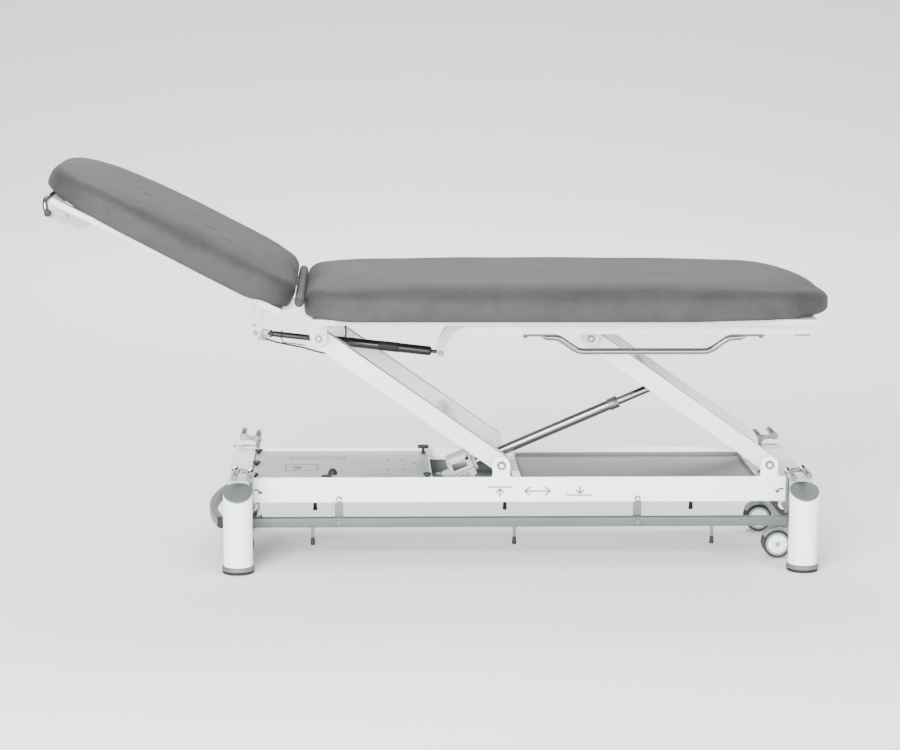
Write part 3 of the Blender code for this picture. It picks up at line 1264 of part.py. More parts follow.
spring_pin = (SPRING_X, 0, SPRING_Z)
part("gas_cylinder", gas_cylinder(), BLACK, spring_pin)
part("gas_rod", gas_rod(), BLACK, spring_pin)
part("release_cable", release_cable(), RUBBER)
part("release_lever", release_lever(), BLACK, (*LEVER_PIVOT, FRAME_BOTTOM))
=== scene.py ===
"""Examination table: pads, plated bars, castors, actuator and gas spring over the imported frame."""

import bmesh
import bpy
import numpy as np
from mathutils import Matrix, Vector


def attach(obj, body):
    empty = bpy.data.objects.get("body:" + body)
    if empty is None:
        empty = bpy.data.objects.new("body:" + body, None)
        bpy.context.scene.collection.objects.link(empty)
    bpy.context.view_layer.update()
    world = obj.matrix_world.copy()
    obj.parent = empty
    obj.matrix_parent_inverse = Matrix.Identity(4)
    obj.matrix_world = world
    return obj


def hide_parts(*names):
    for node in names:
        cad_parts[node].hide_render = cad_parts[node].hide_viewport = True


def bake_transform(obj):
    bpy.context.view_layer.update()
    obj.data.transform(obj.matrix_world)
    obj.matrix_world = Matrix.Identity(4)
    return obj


bl_info = {
    "name": "Examination Table",
    "version": (1, 0, 0),
    "blender": (4, 5, 0),
    "location": "View3D > Sidebar > Table",
    "description": "Builds the visible pieces of a height-adjustable examination table",
    "category": "Add Mesh",
}

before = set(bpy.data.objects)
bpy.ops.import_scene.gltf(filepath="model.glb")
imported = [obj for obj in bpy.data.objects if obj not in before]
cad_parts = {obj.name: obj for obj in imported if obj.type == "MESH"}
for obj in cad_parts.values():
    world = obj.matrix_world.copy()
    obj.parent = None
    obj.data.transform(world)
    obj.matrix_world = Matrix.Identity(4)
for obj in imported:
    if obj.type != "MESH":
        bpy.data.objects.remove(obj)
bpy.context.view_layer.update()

# The source lays the table out around the middle of its base; this moves it over the origin.
# Every place below is in the source's own coordinates, before that move.
BASE_X = 0.208633
# The backrest's pin, and its slope at rest
HINGE = np.array([-0.555, 0.0, 0.692])
BACK_ANGLE = np.radians(26.4)
# The outer face of a side rail, and where a bolt's head starts in it
RAIL_FACE = 0.1881
BOLT_SEAT = 0.1878
# A post's distances from the middle, and its radius
POST = (0.728, 0.276, 0.0375)
# Pins of the two pairs of lift arms, in the top and in the base
UPPER = ((-0.52131, 0.591178), (0.17869, 0.591178))
LOWER = ((-0.049, 0.258), (0.651, 0.258))
# The swing links' pins along a rail, their upper height and the foot bar's height
LINKS = (-0.47, 0.3075)
LINK_TOP = 0.1695
FOOT_BAR_Z = 0.1105
# The actuator's tail pin, its slope and its length between pins
TAIL = np.array([-0.205, 0.0, 0.185])
TILT = np.radians(23.4154)
ROD_LENGTH = 0.647867
# The gas spring's fixed pin, its slope and its length between pins
SPRING = np.array([-0.2026, 0.0, 0.525])
SPRING_TILT = np.radians(6.36152)
SPRING_LENGTH = 0.490603
# Each pad's ends along X, its underside and its top; the head pad lies flat about its hinge
HEAD_PAD = (-0.722, -0.031, -0.035, 0.043)
MAIN_PAD = (-0.556, 0.8, 0.657, 0.735)
PAD_HALF = 0.33
# A wide flat cover lifts far under little pressure, so the pressure is low. The cover starts
# smaller than the pad by LESS on every side and is blown up for FRAMES steps.
VOXEL = 0.0095
PRESSURE = 0.38
LESS = 0.0025
FRAMES = 20
# A turned profile that closes on its axis stops at this radius, so that no face is lost
AXIS = 0.0002
CABLE = 0.0022
ENDS = ((-1, "head"), (1, "foot"))
SIDES = ((-1, "near"), (1, "far"))


# Materials. One function turns sRGB hex to linear, one adds a node.

def linear(colour):
    """sRGB hex to linear red, green, blue and alpha."""
    rgb = np.array([int(colour[k:k + 2], 16) / 255 for k in (1, 3, 5)])
    return (*np.where(rgb <= 0.04045, rgb / 12.92, ((rgb + 0.055) / 1.055) ** 2.4).tolist(), 1.0)


def add(tree, kind, inputs=None, **settings):
    """Add a shader node; an input is a value, or a socket to link from."""
    made = tree.nodes.new("ShaderNode" + kind)
    for key, value in settings.items():
        setattr(made, key, value)
    for key, value in (inputs or {}).items():
        if isinstance(value, bpy.types.NodeSocket):
            tree.links.new(value, made.inputs[key])
        else:
            made.inputs[key].default_value = value
    return made


def base(name, colour, roughness, **sockets):
    """A Principled material with its plain values set on the sockets."""
    made = bpy.data.materials.new(name)
    made.use_nodes = True
    tree = made.node_tree
    shader = tree.nodes["Principled BSDF"]
    shader.inputs["Base Color"].default_value = linear(colour)
    shader.inputs["Roughness"].default_value = roughness
    for key, value in sockets.items():
        shader.inputs[key.replace("_", " ")].default_value = value
    return made, tree, shader


def place(tree, stretch=(1, 1, 1)):
    """Object coordinates, stretched for a pattern that runs one way."""
    spot = add(tree, "TexCoord").outputs["Object"]
    return add(tree, "Mapping", {"Vector": spot, "Scale": stretch}).outputs["Vector"]


def relief(tree, shader, height, depth, strength=1.0):
    """Bump of a depth in metres from a height pattern."""
    bump = add(tree, "Bump", {"Height": height, "Distance": depth, "Strength": strength})
    tree.links.new(bump.outputs["Normal"], shader.inputs["Normal"])


def tinted(tree, shader, value, low, high):
    """Blend two near tones by a pattern."""
    mix = add(tree, "ValToRGB", {"Fac": value})
    mix.color_ramp.elements[0].position = 0.3
    mix.color_ramp.elements[1].position = 0.7
    mix.color_ramp.elements[0].color = linear(low)
    mix.color_ramp.elements[1].color = linear(high)
    tree.links.new(mix.outputs["Color"], shader.inputs["Base Color"])


def powder_coat(name, colour, shade, roughness=0.36):
    """Polyester powder coat on steel: even, satin, with the orange peel of a baked powder."""
    made, tree, shader = base(name, colour, roughness, IOR=1.5, Coat_Weight=0.15,
                              Coat_Roughness=0.25)
    where = place(tree)
    # Peel is about 2 mm across; drawn at 5 mm so that it shows
    peel = add(tree, "TexNoise", {"Vector": where, "Scale": 200.0, "Detail": 2.0})
    cloud = add(tree, "TexNoise", {"Vector": where, "Scale": 7.0, "Detail": 3.0})
    tinted(tree, shader, cloud.outputs["Fac"], shade, colour)
    relief(tree, shader, peel.outputs["Fac"], 0.0002, 0.35)
    return made


def leatherette(name, dark, light):
    """Polyurethane leatherette: matt, mottled by brushed tones, with a fine pressed grain."""
    made, tree, shader = base(name, light, 0.68, IOR=1.46, Specular_IOR_Level=0.3,
                              Sheen_Weight=0.04, Sheen_Roughness=0.45)
    where = place(tree)
    # Clouded tones run 40 to 120 mm across
    cloud = add(tree, "TexNoise", {"Vector": where, "Scale": 9.0, "Detail": 6.0, "Roughness": 0.62,
                                   "Distortion": 0.6})
    speck = add(tree, "TexNoise", {"Vector": where, "Scale": 90.0, "Detail": 3.0,
                                   "Roughness": 0.7})
    both = add(tree, "Math", {0: cloud.outputs["Fac"], 1: 0.72}, operation="MULTIPLY")
    fine = add(tree, "Math", {0: speck.outputs["Fac"], 1: 0.28, 2: both.outputs["Value"]},
               operation="MULTIPLY_ADD")
    tinted(tree, shader, fine.outputs["Value"], dark, light)
    # Grain cells are about 1 mm; drawn at 3 mm
    cell = add(tree, "TexVoronoi", {"Vector": where, "Scale": 330.0}, feature="DISTANCE_TO_EDGE")
    soft = add(tree, "TexNoise", {"Vector": where, "Scale": 26.0, "Detail": 4.0})
    sum_height = add(tree, "Math", {0: soft.outputs["Fac"], 1: 4.0, 2: cell.outputs["Distance"]},
                     operation="MULTIPLY_ADD")
    relief(tree, shader, sum_height.outputs["Value"], 0.0005, 0.35)
    return made


def plated(name, colour, roughness):
    """Polished plating on steel: a mirror with faint polishing marks that run along the bar."""
    made, tree, shader = base(name, colour, roughness, Metallic=1.0)
    marks = add(tree, "TexNoise", {"Vector": place(tree, (30, 400, 400)), "Scale": 3.0,
                                   "Detail": 3.0})
    relief(tree, shader, marks.outputs["Fac"], 0.0001, 0.15)
    spread = add(tree, "MapRange", {"Value": marks.outputs["Fac"], "To Min": roughness * 0.8,
                                    "To Max": roughness * 1.4})
    tree.links.new(spread.outputs["Result"], shader.inputs["Roughness"])
    return made


def drawn_metal(name, colour, shade, roughness, stretch):
    """Drawn or zinc plated metal: dull metal with fine lines along one way."""
    made, tree, shader = base(name, colour, roughness, Metallic=0.9)
    lines = add(tree, "TexNoise", {"Vector": place(tree, stretch), "Scale": 6.0, "Detail": 4.0})
    relief(tree, shader, lines.outputs["Fac"], 0.0002, 0.3)
    tinted(tree, shader, lines.outputs["Fac"], shade, colour)
    return made


def moulded(name, colour, roughness, grit=300.0, depth=0.0002):
    """Injection moulded plastic or rubber: one colour, with the mould's eroded grit."""
    made, tree, shader = base(name, colour, roughness, IOR=1.49)
    where = place(tree)
    dots = add(tree, "TexNoise", {"Vector": where, "Scale": grit, "Detail": 2.0})
    wear = add(tree, "TexNoise", {"Vector": where, "Scale": 20.0, "Detail": 3.0})
    spread = add(tree, "MapRange", {"Value": wear.outputs["Fac"], "To Min": roughness * 0.85,
                                    "To Max": roughness * 1.15})
    tree.links.new(spread.outputs["Result"], shader.inputs["Roughness"])
    relief(tree, shader, dots.outputs["Fac"], depth, 0.3)
    return made


WHITE = powder_coat("white_powder_coat_steel", "#f8fbfb", "#f1f5f5")
# The lift arms are the rails' white powder coat, drawn darker as painted shade under the top
ARM_WHITE_PAINTED_SHADE = powder_coat("soft_white_powder_coat_steel", "#dde1e3", "#d3d8da")
# The upper frame is the same white coat, drawn grey as a painted shadow of the pads over it
FRAME_WHITE_PAINTED_SHADOW = powder_coat("grey_white_powder_coat_steel", "#ced1d2", "#c5c8c9")
BAR_GREY = powder_coat("grey_powder_coat_steel", "#565d5e", "#4f5657", 0.42)
COVER_GREY = powder_coat("light_grey_coated_sheet", "#a6abae", "#9aa0a3", 0.45)
PLATE_GREY = powder_coat("grey_coated_plate", "#94989a", "#8b8f91", 0.45)
# The sheet's own grey, drawn darker by painted shade of the recess between the rails and under the
# arms
PAN_GREY_AND_SHADE = powder_coat("grey_coated_pan_sheet", "#6f7374", "#66696a", 0.5)
HIDE = leatherette("polyurethane_leatherette", "#2f2f30", "#3f3f40")
CHROME = plated("chrome_plated_steel", "#8c8e90", 0.12)
ZINC = drawn_metal("zinc_plated_steel", "#85888a", "#6f7274", 0.34, (60, 60, 60))
TUBE = drawn_metal("anodised_aluminium_tube", "#85888a", "#727577", 0.28, (10, 200, 200))
CAP_GREY = moulded("grey_polypropylene", "#5a5f61", 0.48)
MOTOR_GREY = moulded("light_grey_polyamide", "#b9bdbf", 0.5)
CASTOR_WHITE = moulded("white_polypropylene_wheel", "#f3f6f7", 0.4)
CASTOR_GREY = moulded("grey_polypropylene_wheel", "#8f9598", 0.45)
BLACK = moulded("black_polyamide", "#101112", 0.6)
TYRE = moulded("grey_thermoplastic_rubber", "#2c2e30", 0.65)
RUBBER = moulded("black_rubber", "#161617", 0.75)
ENAMEL = powder_coat("black_enamelled_tube", "#19191b", "#151517", 0.28)
PRINT = moulded("grey_printed_mark", "#6b7276", 0.6, 120.0, 0.00005)
RED_PRINT = moulded("red_printed_mark", "#7d1722", 0.6, 120.0, 0.00005)


# Shapes. A shell is a pair: points as an (n, 3) array, and faces.

def rings(points, joined=False):
    """Skin between the closed rings of an (n, m, 3) array.

    Flat faces close its ends, or the last ring joins the first.
    """
    n, m = points.shape[:2]
    index = np.arange(n * m).reshape(n, m)
    upper = np.roll(index, -1, axis=0) if joined else index[1:]
    lower = index if joined else index[:-1]
    quads = np.stack([lower, np.roll(lower, -1, axis=1), np.roll(upper, -1, axis=1), upper],
                     axis=-1).reshape(-1, 4)
    faces = quads.tolist()
    if not joined:
        faces += [index[0].tolist()[::-1], index[-1].tolist()]
    return points.reshape(-1, 3), faces


def frame_of(axis):
    """Two unit vectors square to an axis, and the axis."""
    w = np.array(axis, float)
    w /= np.linalg.norm(w)
    other = np.array([0.0, 1.0, 0.0]) if abs(w[1]) < 0.9 else np.array([1.0, 0.0, 0.0])
    u = np.cross(other, w)
    u /= np.linalg.norm(u)
    return u, np.cross(w, u), w


def turned(profile, at, axis=(0, 0, 1), sides=40, joined=False):
    """A profile of radius and height pairs carried round an axis."""
    u, v, w = frame_of(axis)
    profile = np.array(profile, float)
    angle = np.linspace(0, 2 * np.pi, sides, endpoint=False)
    circle = np.cos(angle)[:, None] * u + np.sin(angle)[:, None] * v
    out, along = profile[:, 0, None, None], profile[:, 1, None, None]
    return rings(out * circle + along * w + np.array(at, float), joined)


def solid(*profile):
    """A profile closed on its axis, level with its first and last points."""
    return [(AXIS, profile[0][1]), *profile, (AXIS, profile[-1][1])]


def smooth(points, per=6):
    """A Catmull-Rom curve through points, as whole arrays."""
    p = np.array(points, float)
    p = np.vstack([2 * p[0] - p[1], p, 2 * p[-1] - p[-2]])
    t = np.linspace(0, 1, per, endpoint=False)[:, None, None]
    a, b, c, d = p[:-3], p[1:-2], p[2:-1], p[3:]
    curve = 0.5 * (2 * b + (c - a) * t + (2 * a - 5 * b + 4 * c - d) * t ** 2
                   + (3 * b - a - 3 * c + d) * t ** 3)
    return np.vstack([curve.transpose(1, 0, 2).reshape(-1, 3), p[-2]])


def swept(path, section, up=(0, 1, 0)):
    """A closed section of (m, 2) points carried along a path, kept square to it."""
    path = np.array(path, float)
    run = np.gradient(path, axis=0)
    run /= np.linalg.norm(run, axis=1, keepdims=True)
    side = np.cross(run, np.array(up, float))
    side /= np.linalg.norm(side, axis=1, keepdims=True)
    lift = np.cross(side, run)
    across, above = np.array(section, float).T[:, None, :, None]
    return rings(path[:, None] + across * side[:, None] + above * lift[:, None])


def circle(radius, sides=20, squash=1.0):
    """Points of a circle or an ellipse."""
    angle = np.linspace(0, 2 * np.pi, sides, endpoint=False)
    return np.stack([radius * np.cos(angle), radius * squash * np.sin(angle)], axis=1)


def rounded(half_u, half_v, radius, steps=8):
    """Outline of a rectangle with rounded corners, once round."""
    turn = np.radians(np.linspace(0, 90, steps))
    corners = []
    for k, (su, sv) in enumerate(((1, 1), (-1, 1), (-1, -1), (1, -1))):
        angle = turn + k * np.pi / 2
        centre = np.array([su * (half_u - radius), sv * (half_v - radius)])
        corners.append(centre + radius * np.stack([np.cos(angle), np.sin(angle)], axis=1))
    return np.vstack(corners)


def inset(outline, depth):
    """Move a closed outline inwards along its normals."""
    run = np.roll(outline, -1, axis=0) - np.roll(outline, 1, axis=0)
    run /= np.linalg.norm(run, axis=1, keepdims=True)
    normal = np.stack([-run[:, 1], run[:, 0]], axis=1)
    area = np.sum(outline[:, 0] * np.roll(outline[:, 1], -1) - np.roll(outline[:, 0], -1)
                  * outline[:, 1])
    return outline + normal * depth * np.sign(area)


def slab(outline, low, high, edge=0.001, axis="y"):
    """A sheet or block between two planes: its outline, with rims turned over a quarter round."""
    turn = np.radians(np.linspace(0, 90, 4))
    steps = [(edge * (1 - np.sin(a)), low + edge * (1 - np.cos(a))) for a in turn]
    steps += [(edge * (1 - np.sin(a)), high - edge * (1 - np.cos(a))) for a in turn[::-1]]
    layers = []
    for depth, level in steps:
        flat = inset(np.array(outline, float), depth)
        third = np.full((len(flat), 1), level)
        order = {"x": (third, flat), "y": (flat[:, :1], third, flat[:, 1:]),
                 "z": (flat, third)}[axis]
        layers.append(np.hstack(order))
    return rings(np.stack(layers))


def block(half_u, half_v, radius, centre, low, high, edge=0.001, axis="y", steps=8):
    """A slab of a rounded rectangle about a centre."""
    outline = rounded(half_u, half_v, radius, steps) + np.array(centre)
    return slab(outline, low, high, edge, axis)


def moved(shell, turn=0.0, at=(0, 0, 0)):
    """Turn a shell about +Y, head side up for a positive angle, and carry it to a point."""
    c, s = np.cos(turn), np.sin(turn)
    matrix = np.array([[c, 0, s], [0, 1, 0], [-s, 0, c]])
    return shell[0] @ matrix.T + np.array(at, float), shell[1]


def on_back(shell):
    """From the backrest drawn flat around its hinge to its place at rest."""
    return moved(shell, BACK_ANGLE, HINGE)


def on_actuator(shell):
    """From the actuator drawn along +X from its tail pin to its place at rest."""
    return moved(shell, -TILT, TAIL)


def on_spring(shell):
    """From the spring drawn along -X from its fixed pin to its place at rest."""
    return moved(shell, SPRING_TILT, SPRING)


def outward(mesh):
    """Turn every face of closed shells outwards."""
    bm = bmesh.new()
    bm.from_mesh(mesh)
    bmesh.ops.recalc_face_normals(bm, faces=bm.faces)
    bm.to_mesh(mesh)
    bm.free()


def build(name, body, shells, sharp=38.0, nodes=()):
    """Put shells with their materials into one object.

    It rides on a body and stands for CAD nodes.
    """
    points, faces, choice, materials = [], [], [], []
    start = 0
    for (verts, polys), material in shells:
        if material not in materials:
            materials.append(material)
        points.append(verts)
        faces += [[start + k for k in poly] for poly in polys]
        choice += [materials.index(material)] * len(polys)
        start += len(verts)
    points = np.vstack(points) + np.array([BASE_X, 0, 0])
    mesh = bpy.data.meshes.new(name)
    mesh.from_pydata(points.tolist(), [], faces)
    mesh.polygons.foreach_set("material_index", choice)
    for material in materials:
        mesh.materials.append(material)
    outward(mesh)
    mesh.shade_smooth()
    mesh.set_sharp_from_angle(angle=np.radians(sharp))
    made = bpy.data.objects.new(name, mesh)
    bpy.context.scene.collection.objects.link(made)
    if body:
        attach(made, body)
    if nodes:
        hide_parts(*nodes)
    return made


def finish(names, material):
    """Give kept CAD nodes a material."""
    for name in names:
        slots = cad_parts[name].data.materials
        slots.clear()
        slots.append(material)


def bolt_head(at, axis, radius, height, recess=0.5):
    """A low cylinder head with a chamfer and a round recess."""
    r, h = radius, height
    profile = solid((r * recess * 0.6, h * 0.45), (r * recess, h * 0.5), (r * recess, h),
                    (r * 0.86, h), (r, h * 0.75), (r, 0.0))
    return turned(profile, at, axis, 32)


# Sizes and colours a user would change

class TableSizes(bpy.types.PropertyGroup):
    swell: bpy.props.FloatProperty(name="Pad swell",
                                   description="How far a pad's cover may swell when blown up",
                                   default=0.022, subtype="DISTANCE", unit="LENGTH")
    edge: bpy.props.FloatProperty(name="Pad edge radius",
                                  description="Radius of the pads' upper edge", default=0.034,
                                  subtype="DISTANCE", unit="LENGTH")
    dome: bpy.props.FloatProperty(name="Cap crown",
                                  description="How far a post's cap stands up in its middle",
                                  default=0.004, subtype="DISTANCE", unit="LENGTH")
    floor: bpy.props.FloatVectorProperty(name="Floor colour",
                                         description="Colour of the studio floor", subtype="COLOR",
                                         default=(0.97, 0.97, 0.97))
    light: bpy.props.FloatProperty(name="Light", description="Strength of the studio lights",
                                   default=1.0, min=0.0)


def sizes():
    """The sizes and colours in use."""
    return bpy.context.scene.table_sizes


class TABLE_OT_stage(bpy.types.Operator):
    """Camera at the photograph's view, soft lights and a pale floor"""
    bl_idname = "table.stage"
    bl_label = "Stage"

    def execute(self, context):
        scene = context.scene
        # Angles in radians; the focal length and the photograph's width in pixels
        yaw, pitch, roll, focal, width = 0.0417, 0.1773, 0.0062, 2378.86, 900
        forward = Vector((np.sin(yaw) * np.cos(pitch), np.cos(yaw) * np.cos(pitch),
                          -np.sin(pitch)))
        flat = Vector((np.cos(yaw), -np.sin(yaw), 0))
        level = flat.cross(forward)
        right = flat * np.cos(roll) + level * np.sin(roll)
        up = level * np.cos(roll) - flat * np.sin(roll)
        data = bpy.data.cameras.new("camera")
        data.sensor_width = 36.0
        data.lens = focal * data.sensor_width / width
        data.clip_end = 60
        camera = bpy.data.objects.new("camera", data)
        turn = Matrix((right, up, -forward)).transposed().to_4x4()
        camera.matrix_world = Matrix.Translation((BASE_X - 0.4353, -6.2115, 1.577)) @ turn
        scene.collection.objects.link(camera)
        scene.camera = camera

        # A wide floor, level up to 8 m out; past that it rises with the square of the distance
        reach, level_reach, rise, below = 20, 8, 0.06, 0.0004
        x = np.linspace(-reach, reach, 90)
        count = len(x)
        points = np.stack([np.repeat(x, count), np.tile(x, count), np.zeros(count ** 2)], axis=1)
        past = np.clip(np.hypot(points[:, 0], points[:, 1]) - level_reach, 0, None)
        points[:, 2] = rise * past ** 2 - below
        index = np.arange(len(points)).reshape(count, count)
        quads = np.stack([index[:-1, :-1], index[1:, :-1], index[1:, 1:], index[:-1, 1:]],
                         axis=-1).reshape(-1, 4)
        mesh = bpy.data.meshes.new("studio_floor")
        mesh.from_pydata(points.tolist(), [], quads.tolist())
        mesh.shade_smooth()
        paper, _, shader = base("white_studio_paper", "#f6f6f6", 0.9)
        shader.inputs["Base Color"].default_value = (*sizes().floor, 1)
        mesh.materials.append(paper)
        floor = bpy.data.objects.new("studio_floor", mesh)
        scene.collection.objects.link(floor)

        # Place, what it points at, size in metres and power in watts; the last one lights the
        # floor behind the table from straight above
        lights = (("key", (-2.2, -5.2, 2.3), (0.0, 0, 0.5), 3.0, 860),
                  ("fill", (4.4, -4.8, 2.4), (0.3, 0, 0.4), 3.5, 300),
                  ("top", (0.2, 0.8, 5.4), (0, 0, 0.4), 5.0, 90),
                  ("low", (0.4, -6.4, 0.8), (0, 0, 0.3), 3.0, 230),
                  ("back", (0.2, 6.0, 6.0), (0.2, 6.001, 0.0), 6.0, 900))
        for name, at, target, size, power in lights:
            lamp = bpy.data.lights.new(name, "AREA")
            lamp.size = size
            lamp.energy = power * sizes().light
            made = bpy.data.objects.new(name, lamp)
            made.location = at
            made.rotation_euler = (Vector(target) - Vector(at)).to_track_quat("-Z", "Y").to_euler()
            scene.collection.objects.link(made)
        world = bpy.data.worlds.new("studio")
        world.use_nodes = True
        # A grey band round the horizon gives plated bars a dark line to reflect
        tree = world.node_tree
        way = add(tree, "TexCoord").outputs["Generated"]
        height = add(tree, "SeparateXYZ", {"Vector": way}).outputs["Z"]
        band = add(tree, "ValToRGB", {"Fac": height})
        band.color_ramp.elements[0].position = 0.02
        band.color_ramp.elements[0].color = (0.34, 0.35, 0.36, 1)
        band.color_ramp.elements[1].position = 0.45
        band.color_ramp.elements[1].color = (1, 1, 1, 1)
        tree.links.new(band.outputs["Color"], tree.nodes["Background"].inputs["Color"])
        tree.nodes["Background"].inputs["Strength"].default_value = 0.5 * sizes().light
        scene.world = world
        return {"FINISHED"}


# Pads

def pad_shell(x0, x1, z0, z1, ra, rb, less):
    """A pad as rings, from the middle of its underside to the middle of its top.

    Each ring is the plan outline, a rectangle with one corner radius at each end, moved in by a
    distance. The height follows a small lower edge, an upright side and a rounded upper edge. The
    form is drawn a little less than its size, because the cover swells when it is blown up.
    """
    half, x0, x1, z1 = PAD_HALF - less, x0 + less, x1 - less, z1 - less
    edge, low, inner = sizes().edge, 0.009, PAD_HALF - less - 0.005
    under = [(d, z0) for d in np.linspace(inner, low + 0.004, 6)]
    lower = [(low * (1 - np.sin(a)), z0 + low * (1 - np.cos(a)))
             for a in np.radians(np.linspace(0, 80, 5))]
    side = [(0.0, z) for z in np.linspace(z0 + low, z1 - edge, 5)]
    upper = [(edge * (1 - np.cos(a)), z1 - edge + edge * np.sin(a))
             for a in np.radians(np.linspace(8, 90, 12))]
    top = [(d, z1) for d in np.linspace(edge, inner, 12)[1:]]
    turn = np.linspace(0, np.pi / 2, 26)
    layers = []
    for depth, level in (*under, *lower, *side, *upper, *top):
        ry = half - depth
        a, b = min(max(ra - depth, 0.0005), ry), min(max(rb - depth, 0.0005), ry)
        outline = []
        corners = ((x1 - depth - b, ry - b, b), (x0 + depth + a, ry - a, a),
                   (x0 + depth + a, a - ry, a), (x1 - depth - b, b - ry, b))
        for k, (x, y, r) in enumerate(corners):
            angle = turn + k * np.pi / 2
            outline.append(np.stack([x + r * np.cos(angle), y + r * np.sin(angle),
                                     np.full(len(turn), level)], axis=1))
        layers.append(np.vstack(outline))
    return rings(np.stack(layers))


def evaluated(made):
    """Points and faces of an object with its modifiers applied."""
    graph = bpy.context.evaluated_depsgraph_get()
    mesh = made.evaluated_get(graph).to_mesh()
    points = np.empty(len(mesh.vertices) * 3, np.float32)
    mesh.vertices.foreach_get("co", points)
    faces = [list(polygon.vertices) for polygon in mesh.polygons]
    made.evaluated_get(graph).to_mesh_clear()
    return points.reshape(-1, 3).astype(float), faces


def scratch(shell):
    """A helper object for a shell, taken away again once its modifiers have been read."""
    mesh = bpy.data.meshes.new("scratch")
    mesh.from_pydata(shell[0].tolist(), [], shell[1])
    outward(mesh)
    made = bpy.data.objects.new("scratch", mesh)
    bpy.context.scene.collection.objects.link(made)
    return made


def blown(shell, floor, swell):
    """Blow a closed cover up as cloth over a padded board.

    The shell is remeshed evenly, its underside is held, and pressure from inside lifts the rest.
    Each point then moves along its own way by no more than the swell.
    """
    made = scratch(shell)
    remesh = made.modifiers.new("even", "REMESH")
    remesh.mode = "VOXEL"
    remesh.voxel_size = VOXEL
    even = evaluated(made)
    bpy.data.objects.remove(made)
    even[0][:, 2] = np.maximum(even[0][:, 2], floor)
    made = scratch(even)
    held = made.vertex_groups.new(name="held")
    held.add(np.flatnonzero(even[0][:, 2] < floor + 0.005).tolist(), 1.0, "REPLACE")
    cloth = made.modifiers.new("cover", "CLOTH")
    cloth.settings.quality = 4
    cloth.settings.mass = 0.3
    cloth.settings.use_pressure = True
    cloth.settings.uniform_pressure_force = PRESSURE
    cloth.settings.vertex_group_mass = "held"
    cloth.settings.effector_weights.gravity = 0.0
    cloth.collision_settings.use_collision = False
    cloth.point_cache.frame_start, cloth.point_cache.frame_end = 1, FRAMES
    for step in range(1, FRAMES + 1):
        bpy.context.scene.frame_set(step)
    moved_to = evaluated(made)[0] - even[0]
    bpy.context.scene.frame_set(1)
    reach = np.linalg.norm(moved_to, axis=1, keepdims=True)
    # A soft cap, so that a wide face keeps a crown
    even = (even[0] + moved_to / np.maximum(reach, 1e-9) * swell * np.tanh(reach / swell),
            even[1])
    bpy.data.objects.remove(made)
    made = scratch(even)
    made.modifiers.new("finer", "SUBSURF").levels = 1
    even = evaluated(made)
    bpy.data.objects.remove(made)
    return even


def creased(points, line, depth, width, top):
    """Press a groove along a line in the top: deepest half way, with a low swell at each side."""
    line = smooth([(a, b, 0.0) for a, b in line], 5)[:, :2]
    gap, along = np.full(len(points), 9.0), np.zeros(len(points))
    for k, (a, b) in enumerate(zip(line[:-1], line[1:])):
        run = b - a
        t = np.clip((points[:, :2] - a) @ run / (run @ run), 0, 1)
        away = np.linalg.norm(points[:, :2] - a - t[:, None] * run, axis=1)
        near = away < gap
        gap[near], along[near] = away[near], ((k + t) / (len(line) - 1))[near]
    beside = 0.45 * np.exp(-((gap - 2.2 * width) / (1.2 * width)) ** 2)
    groove = beside - np.exp(-(gap / width) ** 2)
    on_top = np.clip((points[:, 2] - top + 0.03) / 0.02, 0, 1)
    points[:, 2] += depth * groove * np.sin(np.pi * along) ** 0.7 * on_top


def dressed(points, x0, x1, z0, z1, hang, fall):
    """Let a cover hang and settle.

    Its lower edge hangs below the board along the sides, by a smooth step over a run of X, and
    puckers. Its top falls towards one end with the cube of the distance, and waves faintly.
    """
    lip, crown = 0.03, 0.05
    x, y, z = points.T.copy()
    amount, from_x, full_x, over_x, to_x = hang
    fade = np.clip((to_x - x) / (to_x - over_x), 0, 1)
    run = np.clip((x - from_x) / (full_x - from_x), 0, 1) * fade
    out = np.clip((np.abs(y) - 0.312) / 0.014, 0, 1)
    down = np.clip((z0 + lip - z) / lip, 0, 1)
    points[:, 2] -= amount * run * run * (3 - 2 * run) * out * down
    up = np.clip((z - z1 + crown) / crown, 0, 1)
    amount, start, stop = fall
    points[:, 2] -= amount * np.clip((x - start) / (stop - start), 0, 1) ** 3 * up
    waves = np.sin(x * 23 + 1.3 * np.sin(y * 17)) + np.sin(y * 19 + 2.0) + np.sin(x * 9 + 5 * y)
    points[:, 2] += 0.0005 * up * waves
    around = x * 150 + 4 * np.sin(x * 21) + 40 * y
    points[:, 1] *= 1 - 0.0014 * down * out * (0.5 + 0.5 * np.sin(around))


